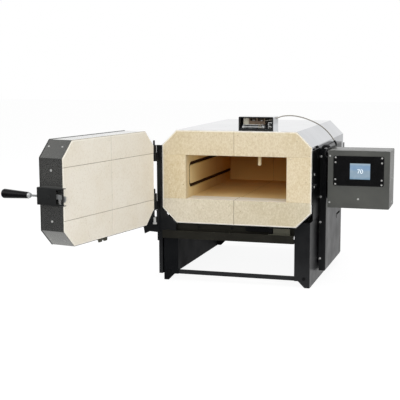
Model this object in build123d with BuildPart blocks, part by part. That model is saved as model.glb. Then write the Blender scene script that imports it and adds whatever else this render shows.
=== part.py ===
from build123d import *
from math import cos, pi, radians, sin, sqrt
import os

# Tempering oven: an octagonal body of soft firebrick in a stainless sleeve, on a folded
# sheet-metal stand, with a side-swinging brick door, a lever latch, a door switch,
# a probe in the roof and a control box on the right. Millimetres, X to the right,
# Y to the back from the front brick face, Z up from the bench.

# Firebrick body
body_width = 393.7
body_height = 241.3
body_length = 508.0
brick = 63.5
block_length = 228.6
corner_cut = 38.1
mortar = 0.4
arris = 0.8
body_lift = 155.5
front_joint = -4.0

# Sheet metal and fasteners
sheet = 1.0
sleeve_gap = 0.2
sleeve_setback = 2.0
plate = 1.5
stand_plate = 2.0
screw_head = 6.0
screw_head_height = 1.8
screw_shank = 3.0
small_head = 5.0
small_head_height = 1.5
rail_head_height = 1.2
bolt_across = 8.0
bolt_height = 4.0
weld_spot = 12.0
fit_gap = 0.15
seat_gap = 0.3

# The brick body and its sleeve, as they follow
half_width = body_width / 2
body_top = body_lift + body_height
opening_half = half_width - brick
opening_low = body_lift + brick
opening_high = body_top - brick
sleeve_out = half_width + sleeve_gap + sheet
roof = body_top + sleeve_gap + sheet
case_low = body_lift - sleeve_gap - sheet
case_end = body_length + sheet
side_out = sleeve_out + plate

# Heating elements and their terminals
groove_low = 30.0
groove_high = 26.3
groove_front = 35.0
groove_turn = 12.0
coil_diameter = 9.0
coil_gap = 0.3
coil_inset = 7.0
coil_back = 13.0
lead_out_diameter = 4.0
bushing_flange = 20.0
bushing_barrel = 13.0
bushing_head = 4.0
bushing_bore_gap = 0.3
post_size = 11.0
post_length = 15.0
post_bore_gap = 0.05
coil_x = opening_half + coil_inset
coil_low = opening_low + groove_low
coil_high = opening_high - groove_high
groove_width = coil_diameter + 2 * coil_gap
groove_depth = coil_inset + coil_diameter / 2 + coil_gap
coil_places = [(side * coil_x, level) for side in (-1, 1) for level in (coil_low, coil_high)]

# Rear cover over the terminals
rear_cover_inset = 1.05
rear_cover_below = 35.0
rear_cover_above = 23.0
rear_cover_half = sleeve_out - rear_cover_inset
rear_cover_low = coil_low - rear_cover_below
rear_cover_high = coil_high + rear_cover_above
rear_cover_depth = 39.0
louvre_length = 60.0
louvre_height = 5.0
louvre_pitch = 16.0
louvre_rows = 4
louvre_columns = 3

# Probe in the roof, with its terminals and hood
probe_x = 53.0
probe_y = 46.0
probe_diameter = 9.0
probe_hole_gap = 0.5
probe_reach = 27.0
hood_left = 8.0
hood_right = 98.0
hood_back = 60.0
hood_height = 36.0
hood_lip = 7.0
hood_bend = 2.5
hood_rim = 3.0
hood_hole_diameter = 5.2
hood_hole_y = 37.0
hood_hole_drop = 4.7
hood_hole_z = roof + hood_height - hood_hole_drop
terminal_left = 30.0
terminal_right = 72.0
terminal_front = 22.0
terminal_depth = 32.0
terminal_lift = 15.4
terminal_height = 18.3
strap_left = 15.0
strap_right = 67.0
strap_foot = 7.0
clamp_rod_height = 9.0
clamp_rod_diameter = 3.0
clamp_head_diameter = 6.0
clamp_head = 3.0
insulator_width = 16.0
insulator_corner = 3.0

# Side plate and wiring cover on the right
side_plate_back = 108.0
side_plate_foot = 16.5
side_plate_drop = 45.8
side_plate_low = body_lift + side_plate_foot
side_plate_high = body_top - side_plate_drop
side_plate_corner = 3.0
side_notch_depth = 15.0
side_notch_height = 42.0
side_notch_top = side_plate_low + side_notch_height
cover_side_gap = 0.5
cover_rear_setback = 148.0
cover_depth = 17.45
cover_drop = 48.8
cover_front = side_plate_back + cover_side_gap
cover_back = body_length - cover_rear_setback
cover_out = side_out + cover_depth
cover_low = 25.0
cover_high = body_top - cover_drop
cover_mount_leg = 20.0
cover_mount_inset = 5.0
cover_weld_heights = (60.0, 130.0)
cover_screw_lifts = (32.6, 129.8, 197.0, 302.8)
cover_screws = [(side_out + screw_head / 2, cover_low + lift) for lift in cover_screw_lifts]
vent_height = 6.0
vent_length = 78.0
vent_front = cover_back - vent_length
vent_level = 150.0
vent_drop = 12.0

# Cord gland at the foot of the wiring cover
gland_level = 50.0
gland_hole = 10.0
gland_across = 14.0
gland_nut = 5.0
gland_nose = 9.0
gland_nose_diameter = 12.0
gland_taper = 6.0
gland_bore = 7.0
gland_bore_depth = 10.0

# Control box
box_gap = 13.0
box_width = 155.3
box_height = 146.4
box_front = 50.0
box_depth = 101.4
box_drop = 47.3
box_left = cover_out + box_gap
box_right = box_left + box_width
box_high = body_top - box_drop
box_low = box_high - box_height
box_back = box_front + box_depth
box_flange = 12.0
faceplate_margin = 14.2
faceplate_lift = 57.4
faceplate_left = box_left + faceplate_margin
faceplate_width = box_width - 2 * faceplate_margin - seat_gap
faceplate_low = box_low + faceplate_lift
faceplate_height = 75.4
faceplate_thickness = 1.2
faceplate_corner = 4.0
face_screw_inset = 5.15
face_screw_lifts = (4.1, 15.8, 59.1, 71.5)
face_screw_head = 4.4
box_screw_inset = 5.0
box_screw_drop = 14.0
door_screw_lift = 24.0
side_screw_lifts = (15.0, 75.0)
screen_inset = 41.8
screen_lift = 17.0
screen_left = faceplate_left + screen_inset
screen_width = 50.5
screen_low = faceplate_low + screen_lift
screen_height = 40.0
screen_depth = 9.0
board_thickness = 1.6
board_post = 6.0
board_post_inset = 6.0
relay_width = 60.0
relay_height = 45.0
relay_depth = 28.0
relay_lift = 50.0
relay_corner = 3.0
relay_chamfer = 2.0
bracket_depth = 24.0
bracket_inset = 1.4
bracket_back = box_back - bracket_inset
bracket_front = bracket_back - bracket_depth

# Stand
stand_inset = 2.55
stand_overhang = 6.0
stand_rise = 12.5
stand_half = sleeve_out - stand_inset
stand_back = body_length + stand_overhang
stand_flange = 40.0
stand_top = body_lift + stand_rise
flange_clear = 3.0
foot_tip = 13.0
foot_height = 17.0
foot_slope = 17.0
rail_drop = 21.5
rail_height = 21.0
rail_high = body_lift - rail_drop
rail_low = rail_high - rail_height
rail_front = -4.0
ledge_back = 14.0
rail_short = 41.0
rail_left = -stand_half - stand_plate
rail_right = stand_half - rail_short
rail_screw_places = (-102.0, -12.0, 80.0)
rail_screw_lift = 10.5
bar_low = 17.5
bar_height = 11.5
bar_depth = 12.0
runner_width = 55.5
runner_height = 34.3
inside = stand_half - stand_plate
bolt_places = [(side * (inside - foot_tip), bar_low + bar_height / 2) for side in (-1, 1)]

# Hinge
hinge_reach = 17.95
hinge_y = -11.0
hinge_lift = 35.5
hinge_drop = 78.8
hinge_x = -sleeve_out - hinge_reach
hinge_lows = (body_lift + hinge_lift, body_top - hinge_drop)
barrel_length = 40.5
half_barrel = barrel_length / 2
barrel_diameter = 12.7
barrel_gap = 0.3
pin_diameter = 5.0
pin_play = 0.05
pin_proud = 12.0
washer_diameter = 15.0
washer_thickness = 1.6
post_reach = 13.95
post_foot_reach = 9.95
post_gap = 0.25
post_left = -sleeve_out - post_reach
post_foot_left = -sleeve_out - post_foot_reach
post_right = -sleeve_out - post_gap
post_top = hinge_lows[1] + barrel_length - sheet / 2
post_step = 105.0
post_depth = 38.0
post_weld_heights = (50.0, 90.0, 130.0)
gusset_top = hinge_lows[0]
gusset_reach = 38.05
gusset_right = -sleeve_out + gusset_reach

# Pivot bracket under the lower barrel: outline from the hinge axis and the barrel's foot
bracket_outline = [(11.0, -4.0), (-4.0, -4.0), (-35.0, -44.0), (-31.0, -69.0), (-16.0, -62.0),
                   (11.0, -64.0)]
bracket_plate = 3.0
bracket_slot_length = 18.0
bracket_slot_width = 6.5
bracket_slot_drop = 14.0
shelf_drop = 44.0
shelf_width = 14.0
shelf_depth = 13.0
pivot_across = 10.0
pivot_head = 4.0
pivot_shank = 7.0
pivot_length = 14.0
pivot_chamfer = 1.0

# Door, modelled closed and turned to its rest place at the end
door_gap = 1.0
door_rest_angle = 101.08
door_joints = (62.0, 183.0)
band_setback = 1.6
door_plate = 1.2
door_plate_lip = 0.8
door_hot = -door_gap
door_cold = door_hot - brick
band_hot = door_hot - band_setback
band_screw_lifts = (60.0, 176.0)
arm_front = -20.0
arm_back = -6.0
arm_leaf_front = -52.0
striker_left = 24.0
striker_right = 62.0
striker_drop = 7.3
striker_notch = 6.0
striker_back = -1.5
striker_front = -20.0
striker_round = 3.0

# Latch on the door, closed place
latch_depth = 13.95
latch_lift = 98.5
latch_height = 40.0
latch_out = sleeve_out + latch_depth
latch_low = body_lift + latch_lift
latch_high = latch_low + latch_height
latch_cold = -64.2
latch_hot = 9.0
latch_side_gap = 3.95
latch_clear = sleeve_out + latch_side_gap
window_front = -12.0
window_back = 5.0
window_margin = 4.0
window_corner = 2.0
latch_pivot_y = -31.0
latch_pivot_lift = 19.0
latch_pivot_z = latch_low + latch_pivot_lift
latch_pin_diameter = 5.0
latch_pin_collar = 9.0
latch_pin_head = 1.5
latch_pin_round = 0.7
lever_reach = 6.95
lever_x = sleeve_out + lever_reach
lever_thickness = 4.0
lever_tail = -50.0
lever_tail_round = 1.5
lever_shoulder = 11.0
lever_waist = 7.0
lever_nose_back = 4.0
lever_nose_drop = 5.8
lever_nose_round = 1.2
rod_root = -44.0
rod_slot_length = 16.5
rod_slot_width = 7.0
rod_slot_drop = 4.75
collar_gap = 0.1
rod_diameter = 5.0
rod_out = -87.0
rod_in_grip = 30.0
ferrule_length = 9.0
ferrule_diameter = 13.0
ferrule_chamfer = 2.0
grip_seat = 2.7
grip_length = 75.0
grip_fat = 22.0
grip_thin = 15.0
grip_shoulder = 8.0
grip_crown = 0.4
spring_y = -6.0
spring_outer = 6.0
spring_inner = 4.0
keeper_y = 3.5
keeper_lift = 11.5
keeper_z = latch_low + keeper_lift
keeper_pin_diameter = 5.0
keeper_corner = 3.0
keeper_base_front = 1.5
keeper_base_back = 26.0
keeper_base_low = latch_low - window_margin
keeper_base_high = latch_high + keeper_corner
keeper_tip_gap = 1.0
keeper_tip_chamfer = 0.6
keeper_clear = 0.3
keeper_screws = ((18.0, latch_high - 4.0), (17.0, latch_low + 5.0))

# Door switch under the door
switch_x = 93.0
switch_y = 4.0
switch_hub = 11.0
switch_pin_diameter = 4.0
switch_arm_end = 28.0
switch_arm_front = -1.1
switch_arm_thickness = 2.0
switch_arm_lift = 5.0
switch_lever_low = rail_high + 2.0
switch_lever_high = rail_high + 17.0
switch_bracket_left = switch_x - 5.5
switch_bracket_right = 143.0
switch_bracket_middle = 4.5
switch_bracket_depth = 13.0
switch_pin_proud = 1.0

# Routes of the probe lead, its sleeve and the wiring loom, by their corner points
lead_diameter = 2.8
lead_reach = cover_out - hood_right
lead_points = [
    (terminal_right + 0.2, 30.0, roof + 25.6), (terminal_right + 13.0, 31.0, roof + 26.6),
    (hood_right + 0.5, hood_hole_y + 0.4, hood_hole_z + 0.3),
    (hood_right + 0.122 * lead_reach, 51.0, roof + 36.6),
    (hood_right + 0.303 * lead_reach, 69.2, roof + 37.0),
    (hood_right + 0.479 * lead_reach, 86.0, roof + 31.8),
    (hood_right + 0.647 * lead_reach, 102.0, roof + 23.0),
    (hood_right + 0.803 * lead_reach, 118.0, roof + 12.0),
    (hood_right + 0.924 * lead_reach, 131.5, roof - 1.2),
    (cover_out + 3.2, 142.2, roof - 16.6), (cover_out + 12.0, 149.4, roof - 31.4),
]
lead_sleeve_diameter = 5.0
lead_sleeve_points = [
    (cover_out + 12.14, 149.52, box_high + 16.86), (cover_out + 16.2, 152.84, box_high + 10.04),
    (cover_out + 18.0, 148.6, box_high + 3.7), (cover_out + 16.0, 136.5, box_high + 2.9),
    (cover_out + 13.8, 112.0, box_high + 3.0), (cover_out + 12.6, 88.0, box_high + 2.9),
    (cover_out + 9.8, 67.0, box_high + 1.9), (cover_out + 6.6, 58.4, box_high - 3.1),
    (cover_out + 4.4, 57.2, box_high - 10.1), (cover_out + 5.8, 57.8, box_high - 17.3),
    (cover_out + 16.4, 58.2, box_high - 19.3),
]
loom_diameter = 8.0
loom_y = 118.0
loom_x = side_out + 4.45
loom_hole_shift = 0.2
loom_points = [
    (loom_x, loom_y, cover_high - 20.0), (loom_x, loom_y, cover_high + 6.0),
    (loom_x + 19.5, loom_y, cover_high + 6.0), (loom_x + 19.5, loom_y, cover_high - 14.0),
    (loom_x + 36.0, loom_y, cover_high - 14.0),
]


def facing(y):
    """Plane that looks to the front at a depth Y, with X and Z as its own axes."""
    return Plane(origin=(0, y, 0), x_dir=(1, 0, 0), z_dir=(0, -1, 0))


def centre(a, b):
    """Middle of two values."""
    return (a + b) / 2


def octagon(grow):
    """Corner points in X and Z of the body outline, grown outwards by a margin."""
    half = half_width + grow
    cut = corner_cut + grow * (2 - sqrt(2))
    low = body_lift - grow
    high = body_top + grow
    return [
        (-half + cut, low), (half - cut, low), (half, low + cut), (half, high - cut),
        (half - cut, high), (-half + cut, high), (-half, high - cut), (-half, low + cut),
    ]


def long_brick(upper):
    """Corner points in X and Z of the brick course above or below the opening."""
    outer = body_top if upper else body_lift
    inner = opening_high if upper else opening_low
    shoulder = outer - corner_cut if upper else outer + corner_cut
    return [
        (-half_width, inner), (half_width, inner), (half_width, shoulder),
        (half_width - corner_cut, outer), (-half_width + corner_cut, outer),
        (-half_width, shoulder),
    ]


# Firebrick courses
with BuildPart() as front_top_bricks:
    with BuildSketch(facing(brick)):
        with BuildLine():
            Polyline(*long_brick(True), close=True)
        make_face()
        with Locations((front_joint, opening_high)):
            Rectangle(mortar, 4 * brick, mode=Mode.SUBTRACT)
    extrude(amount=brick)
    chamfer(front_top_bricks.edges().group_by(Axis.Y)[0], length=arris)
    with Locations((probe_x, probe_y, body_top)):
        Hole(radius=probe_diameter / 2 + probe_hole_gap)
front_top_bricks.part.label = "front_top_bricks"

with BuildPart() as front_bottom_bricks:
    with BuildSketch(facing(brick)):
        with BuildLine():
            Polyline(*long_brick(False), close=True)
        make_face()
        with Locations((front_joint, opening_low)):
            Rectangle(mortar, 4 * brick, mode=Mode.SUBTRACT)
    extrude(amount=brick)
    chamfer(front_bottom_bricks.edges().group_by(Axis.Y)[0], length=arris)
front_bottom_bricks.part.label = "front_bottom_bricks"

with BuildPart() as roof_bricks:
    with BuildSketch(facing(body_length)):
        with BuildLine():
            Polyline(*long_brick(True), close=True)
        make_face()
        with Locations((0, opening_high)):
            Rectangle(mortar, 4 * brick, mode=Mode.SUBTRACT)
    extrude(amount=body_length - brick)
    with BuildSketch(facing(brick + block_length + mortar)):
        with Locations((0, centre(opening_high, body_top))):
            Rectangle(2 * body_width, 2 * brick)
    extrude(amount=mortar, mode=Mode.SUBTRACT)
roof_bricks.part.label = "roof_bricks"

with BuildPart() as floor_bricks:
    with BuildSketch(facing(body_length)):
        with BuildLine():
            Polyline(*long_brick(False), close=True)
        make_face()
        with Locations((0, opening_low)):
            Rectangle(mortar, 4 * brick, mode=Mode.SUBTRACT)
    extrude(amount=body_length - brick)
    with BuildSketch(facing(brick + block_length + mortar)):
        with Locations((0, centre(opening_low, body_lift))):
            Rectangle(2 * body_width, 2 * brick)
    extrude(amount=mortar, mode=Mode.SUBTRACT)
floor_bricks.part.label = "floor_bricks"


def side_wall(side):
    """Three side bricks with the groove that holds a heating element."""
    with BuildPart() as wall:
        with BuildSketch(Plane.YZ.offset(side * opening_half)):
            with Locations((body_length / 2, centre(opening_low, opening_high))):
                Rectangle(body_length, opening_high - opening_low)
            for joint in (brick, brick + block_length):
                with Locations((joint, centre(opening_low, opening_high))):
                    Rectangle(mortar, body_height, mode=Mode.SUBTRACT)
        extrude(amount=side * brick)
        chamfer(wall.edges().group_by(Axis.Y)[0], length=arris)
        outer_height = coil_high - coil_low + groove_width
        inner_height = coil_high - coil_low - groove_width
        with BuildSketch(Plane.YZ.offset(side * opening_half)):
            with Locations((groove_front - groove_width / 2 + body_length / 2,
                            centre(coil_low, coil_high))):
                RectangleRounded(body_length, outer_height, groove_turn + groove_width / 2)
            with Locations((groove_front + groove_width / 2 + body_length / 2,
                            centre(coil_low, coil_high))):
                RectangleRounded(body_length, inner_height, groove_turn - groove_width / 2,
                                 mode=Mode.SUBTRACT)
        extrude(amount=side * groove_depth, mode=Mode.SUBTRACT)
    return wall


side_bricks_left = side_wall(-1)
side_bricks_left.part.label = "side_bricks_left"
side_bricks_right = side_wall(1)
side_bricks_right.part.label = "side_bricks_right"

with BuildPart() as back_bricks:
    with BuildSketch(facing(body_length)):
        with Locations((0, centre(opening_low, opening_high))):
            Rectangle(2 * opening_half, opening_high - opening_low)
            Rectangle(mortar, body_height, mode=Mode.SUBTRACT)
    extrude(amount=brick)
back_bricks.part.label = "back_bricks"


# Heating elements: a coil along the groove, drawn as its outer rod, with thin tails
def element(side):
    """One U-shaped element in the groove of a side wall."""
    coil_end = body_length - coil_back
    tail_end = case_end + bushing_head + post_length - 2 * seat_gap
    with BuildPart() as rod:
        with BuildLine(Plane.YZ.offset(side * coil_x)) as route:
            FilletPolyline((coil_end, coil_low), (groove_front, coil_low),
                           (groove_front, coil_high), (coil_end, coil_high),
                           radius=groove_turn)
        with BuildSketch(Plane(origin=route.line @ 0, z_dir=route.line % 0)):
            Circle(coil_diameter / 2)
        sweep(path=route.line)
        with BuildSketch(facing(tail_end)):
            with Locations((side * coil_x, coil_low), (side * coil_x, coil_high)):
                Circle(lead_out_diameter / 2)
        extrude(amount=tail_end - coil_end + seat_gap)
    return rod


with BuildPart() as heating_elements:
    add(element(-1).part)
    add(element(1).part)
heating_elements.part.label = "heating_elements"

# Ceramic bushings that carry the tails through the back plate
with BuildPart() as element_bushings:
    with BuildSketch(facing(case_end)):
        with Locations(*coil_places):
            Circle(bushing_barrel / 2)
    extrude(amount=sheet)
    with BuildSketch(facing(case_end + bushing_head)):
        with Locations(*coil_places):
            Circle(bushing_flange / 2)
    extrude(amount=bushing_head)
    with BuildSketch(facing(case_end + bushing_head)):
        with Locations(*coil_places):
            Circle(lead_out_diameter / 2 + bushing_bore_gap)
    extrude(amount=bushing_head + sheet, mode=Mode.SUBTRACT)
element_bushings.part.label = "element_bushings"

post_front = case_end + bushing_head
with BuildPart() as terminal_posts:
    with BuildSketch(facing(post_front + post_length)):
        with Locations(*coil_places):
            RegularPolygon(radius=post_size / 2, side_count=6, major_radius=False)
            Circle(lead_out_diameter / 2 + post_bore_gap, mode=Mode.SUBTRACT)
    extrude(amount=post_length)
terminal_posts.part.label = "terminal_posts"

# Stainless sleeve round the bricks and its back plate
with BuildPart() as case_wrap:
    with BuildSketch(facing(body_length)):
        with BuildLine():
            Polyline(*octagon(sleeve_gap + sheet), close=True)
        make_face()
        with BuildLine():
            Polyline(*octagon(sleeve_gap), close=True)
        make_face(mode=Mode.SUBTRACT)
    extrude(amount=body_length - sleeve_setback)
    with Locations((probe_x, probe_y, roof)):
        Hole(radius=probe_diameter / 2 + probe_hole_gap, depth=brick)
case_wrap.part.label = "case_wrap"

with BuildPart() as case_back:
    with BuildSketch(facing(case_end)):
        with BuildLine():
            Polyline(*octagon(sleeve_gap + sheet), close=True)
        make_face()
        with Locations(*coil_places):
            Circle(bushing_barrel / 2 + fit_gap, mode=Mode.SUBTRACT)
    extrude(amount=sheet)
case_back.part.label = "case_back"

with BuildPart() as rear_cover:
    cover_middle = centre(rear_cover_low, rear_cover_high)
    cover_tall = rear_cover_high - rear_cover_low
    cover_end = case_end + rear_cover_depth
    with BuildSketch(facing(cover_end)):
        with Locations((0, cover_middle)):
            Rectangle(2 * rear_cover_half, cover_tall)
    extrude(amount=rear_cover_depth)
    fillet(rear_cover.edges().group_by(Axis.Y)[-1], radius=2 * sheet)
    offset(amount=-sheet, openings=rear_cover.faces().sort_by(Axis.Y)[0])
    with BuildSketch(facing(cover_end)):
        with Locations((0, cover_middle)):
            with GridLocations(2 * louvre_length, louvre_pitch, louvre_columns, louvre_rows):
                SlotOverall(louvre_length, louvre_height)
    extrude(amount=2 * sheet, mode=Mode.SUBTRACT)
rear_cover.part.label = "rear_cover"

# Probe, terminals and hood on the roof
with BuildPart() as thermocouple_sheath:
    probe_low = opening_high - probe_reach
    with BuildSketch(Plane.XY.offset(probe_low)):
        with Locations((probe_x, probe_y)):
            Circle(probe_diameter / 2)
    extrude(amount=roof + terminal_lift - probe_low)
    fillet(thermocouple_sheath.edges().group_by(Axis.Z)[0], radius=probe_diameter / 4)
thermocouple_sheath.part.label = "thermocouple_sheath"

terminal_base = roof + terminal_lift
with BuildPart() as terminal_strap:
    with BuildSketch(facing(terminal_front + terminal_depth)):
        with BuildLine():
            Polyline((strap_left + strap_foot, roof), (strap_left, roof),
                     (strap_left, terminal_base), (strap_right, terminal_base),
                     (strap_right, roof), (strap_right - strap_foot, roof),
                     (strap_right - strap_foot, roof + sheet), (strap_right - sheet, roof + sheet),
                     (strap_right - sheet, terminal_base - sheet),
                     (strap_left + sheet, terminal_base - sheet),
                     (strap_left + sheet, roof + sheet), (strap_left + strap_foot, roof + sheet),
                     close=True)
        make_face()
    extrude(amount=terminal_depth)
    with Locations((probe_x, probe_y, terminal_base)):
        Hole(radius=probe_diameter / 2 + fit_gap, depth=2 * sheet)
    with BuildSketch(Plane.YZ.offset(strap_left)):
        with Locations((terminal_front + clamp_head_diameter / 2, roof + clamp_rod_height)):
            Circle(clamp_rod_diameter / 2 + fit_gap)
    extrude(amount=strap_right - strap_left, mode=Mode.SUBTRACT)
terminal_strap.part.label = "terminal_strap"

with BuildPart() as terminal_hardware:
    rod_y = terminal_front + clamp_head_diameter / 2
    with BuildSketch(Plane.YZ.offset(strap_left - clamp_head)):
        with Locations((rod_y, roof + clamp_rod_height)):
            Circle(clamp_rod_diameter / 2)
    extrude(amount=strap_right - strap_left + 2 * clamp_head)
    for start in (strap_left - clamp_head, strap_right):
        with BuildSketch(Plane.YZ.offset(start)):
            with Locations((rod_y, roof + clamp_rod_height)):
                Circle(clamp_head_diameter / 2)
        extrude(amount=clamp_head)
    screw_base = terminal_base + terminal_height / 2
    with BuildSketch(Plane.XY.offset(screw_base)):
        with Locations((centre(terminal_left, terminal_right),
                        terminal_front + terminal_depth / 4)):
            with GridLocations((terminal_right - terminal_left) / 2, 1, 2, 1):
                Circle(screw_head / 2)
    extrude(amount=screw_head_height)
terminal_hardware.part.label = "terminal_hardware"

with BuildPart() as terminal_block:
    with BuildSketch(Plane.XY.offset(terminal_base)):
        with Locations((centre(terminal_left, terminal_right),
                        terminal_front + terminal_depth / 2)):
            Rectangle(terminal_right - terminal_left, terminal_depth)
    extrude(amount=terminal_height)
    with BuildSketch(facing(terminal_front + terminal_depth / 2)):
        with Locations((centre(terminal_left, terminal_right), terminal_base + terminal_height)):
            with GridLocations((terminal_right - terminal_left) / 2, 1, 2, 1):
                Rectangle(terminal_depth / 2, terminal_height)
    extrude(amount=terminal_depth / 2, mode=Mode.SUBTRACT)
    fillet(terminal_block.edges().filter_by(Axis.Z), radius=sheet)
terminal_block.part.label = "terminal_block"

with BuildPart() as probe_insulator:
    insulator_right = terminal_left - seat_gap
    with BuildSketch(Plane.XY.offset(terminal_base)):
        with Locations((insulator_right - insulator_width / 2,
                        terminal_front + terminal_depth / 2)):
            RectangleRounded(insulator_width, terminal_depth - insulator_width / 2,
                             insulator_corner)
    extrude(amount=terminal_height - sheet)
    chamfer(probe_insulator.edges().group_by(Axis.Z)[-1], length=sheet)
probe_insulator.part.label = "probe_insulator"

hood_top = roof + hood_height
with BuildPart() as thermocouple_cover:
    with BuildSketch(Plane.XY.offset(roof)):
        with Locations((centre(hood_left, hood_right), centre(sleeve_setback, hood_back))):
            Rectangle(hood_right - hood_left, hood_back - sleeve_setback)
    extrude(amount=hood_height)
    fillet(thermocouple_cover.edges().filter_by(Axis.Y).group_by(Axis.Z)[-1], radius=hood_bend)
    offset(amount=-sheet, openings=thermocouple_cover.faces().sort_by(Axis.Z)[0])
    with BuildSketch(facing(2 * sleeve_setback)):
        with Locations((centre(hood_left, hood_right),
                        centre(roof + hood_lip, hood_top - hood_rim))):
            Rectangle(hood_right - hood_left - 2 * hood_rim, hood_height - hood_lip - hood_rim)
    extrude(amount=2 * sleeve_setback, mode=Mode.SUBTRACT)
    with BuildSketch(Plane.YZ.offset(hood_right - 2 * sheet)):
        with Locations((hood_hole_y, hood_hole_z)):
            Circle(hood_hole_diameter / 2)
    extrude(amount=3 * sheet, mode=Mode.SUBTRACT)
thermocouple_cover.part.label = "thermocouple_cover"


# Probe lead, its sleeve and the wiring loom, held by the housings at both ends
def corner_radii(points):
    """Radius for each corner of a route: 0.45 of the shorter run over tan(half turn)."""
    radii = []
    for before, here, after in zip(points, points[1:], points[2:]):
        run_in = Vector(*here) - Vector(*before)
        run_out = Vector(*after) - Vector(*here)
        half_turn = radians(run_in.get_angle(run_out) / 2)
        radii.append(0.45 * min(run_in.length, run_out.length) * cos(half_turn) / sin(half_turn))
    return radii


def routed_tube(name, points, diameter):
    """Tube along straight runs joined by tangent arcs."""
    radii = corner_radii(points)
    with BuildPart() as tube:
        with BuildLine() as route:
            FilletPolyline(*points, radius=radii)
        with BuildSketch(Plane(origin=route.line @ 0, z_dir=route.line % 0)):
            Circle(diameter / 2)
        sweep(path=route.line)
    length = route.wire().length
    expected = pi * diameter ** 2 / 4 * length
    print(name, "length", round(length, 1), "radii", [round(r, 1) for r in radii],
          "volume over section times length", round(tube.part.volume / expected, 4))
    return tube


thermocouple_lead = routed_tube("thermocouple_lead", lead_points, lead_diameter)
thermocouple_lead.part.label = "thermocouple_lead"

lead_sleeve = routed_tube("lead_sleeve", lead_sleeve_points, lead_sleeve_diameter)
lead_sleeve.part.label = "lead_sleeve"

wiring_loom = routed_tube("wiring_loom", loom_points, loom_diameter)
wiring_loom.part.label = "wiring_loom"

# Side plate behind the door edge on the right
with BuildPart() as side_plate:
    with BuildSketch(Plane.YZ.offset(sleeve_out)):
        with BuildLine():
            Polyline((sheet, side_plate_high), (side_plate_back, side_plate_high),
                     (side_plate_back, side_plate_low), (sheet + side_notch_depth, side_plate_low),
                     (sheet + side_notch_depth, side_notch_top), (sheet, side_notch_top),
                     close=True)
        make_face()
    extrude(amount=plate)
    fillet(side_plate.edges().filter_by(Axis.X).group_by(Axis.Y)[0], radius=side_plate_corner)
side_plate.part.label = "side_plate"

# Mounting angles and the folded wiring cover
with BuildPart() as cover_mounts:
    for face, turn in ((cover_front + plate, 1), (cover_back - plate, -1)):
        with BuildSketch(Plane.XY.offset(cover_low + cover_mount_inset)):
            with Locations((centre(sleeve_out, side_out), face + turn * cover_mount_leg / 2)):
                Rectangle(plate, cover_mount_leg)
            with Locations((sleeve_out + cover_mount_leg / 4, face + turn * plate / 2)):
                Rectangle(cover_mount_leg / 2, plate)
        extrude(amount=cover_high - cover_low - 2 * cover_mount_inset)
        with BuildSketch(Plane.YZ.offset(stand_half)):
            for level in cover_weld_heights:
                with Locations((face + turn * cover_mount_leg / 2, level)):
                    Circle(weld_spot / 2)
        extrude(amount=sleeve_out - stand_half)
cover_mounts.part.label = "cover_mounts"

with BuildPart() as wiring_cover:
    with BuildSketch(Plane.YZ.offset(side_out)):
        with Locations((centre(cover_front, cover_back), centre(cover_low, cover_high))):
            Rectangle(cover_back - cover_front, cover_high - cover_low)
    extrude(amount=cover_out - side_out)
    fillet(wiring_cover.edges().group_by(Axis.X)[-1], radius=1.5 * plate)
    offset(amount=-plate, openings=wiring_cover.faces().sort_by(Axis.X)[0])
    with BuildSketch(Plane.YZ.offset(cover_out)):
        with Locations((centre(vent_front, cover_back), vent_level)):
            Rectangle(cover_back - vent_front, vent_height)
        with Locations((vent_front + vent_height / 2, vent_level - vent_drop / 2)):
            Rectangle(vent_height, vent_drop)
    extrude(amount=-2 * plate, mode=Mode.SUBTRACT)
    with Locations((loom_x + loom_hole_shift, loom_y, cover_high)):
        Hole(radius=loom_diameter / 2 + sheet, depth=3 * plate)
    with BuildSketch(facing(cover_front)):
        with Locations(*cover_screws):
            Circle(screw_shank / 2 + fit_gap)
    extrude(amount=-3 * plate, mode=Mode.SUBTRACT)
    with BuildSketch(facing(cover_back)):
        with Locations((centre(side_out, cover_out), gland_level)):
            Circle(gland_hole / 2)
    extrude(amount=2 * plate, mode=Mode.SUBTRACT)
wiring_cover.part.label = "wiring_cover"

with BuildPart() as cord_gland:
    gland_place = Location((centre(side_out, cover_out), gland_level))
    with BuildSketch(facing(cover_back)):
        with Locations(gland_place):
            RegularPolygon(radius=gland_across / 2, side_count=6, major_radius=False)
    extrude(amount=-gland_nut)
    with BuildSketch(facing(cover_back + gland_nut)):
        with Locations(gland_place):
            Circle(gland_nose_diameter / 2)
    extrude(amount=-gland_nose, taper=gland_taper)
    with BuildSketch(facing(cover_back)):
        with Locations(gland_place):
            Circle(gland_hole / 2 - fit_gap)
    extrude(amount=plate)
    with BuildSketch(facing(cover_back + gland_nut + gland_nose)):
        with Locations(gland_place):
            Circle(gland_bore / 2)
    extrude(amount=gland_bore_depth, mode=Mode.SUBTRACT)
cord_gland.part.label = "cord_gland"

# Control box on a channel bracket
with BuildPart() as control_bracket:
    with BuildSketch(Plane.XY.offset(box_low + box_flange)):
        with BuildLine():
            Polyline((cover_out, bracket_front), (cover_out, bracket_back),
                     (box_left, bracket_back), (box_left, bracket_front),
                     (box_left - stand_plate, bracket_front),
                     (box_left - stand_plate, bracket_back - stand_plate),
                     (cover_out + stand_plate, bracket_back - stand_plate),
                     (cover_out + stand_plate, bracket_front), close=True)
        make_face()
    extrude(amount=box_high - box_low - 2 * box_flange)
    fillet(control_bracket.edges().filter_by(Axis.Z).group_by(Axis.Y)[-1], radius=stand_plate)
control_bracket.part.label = "control_bracket"

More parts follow.
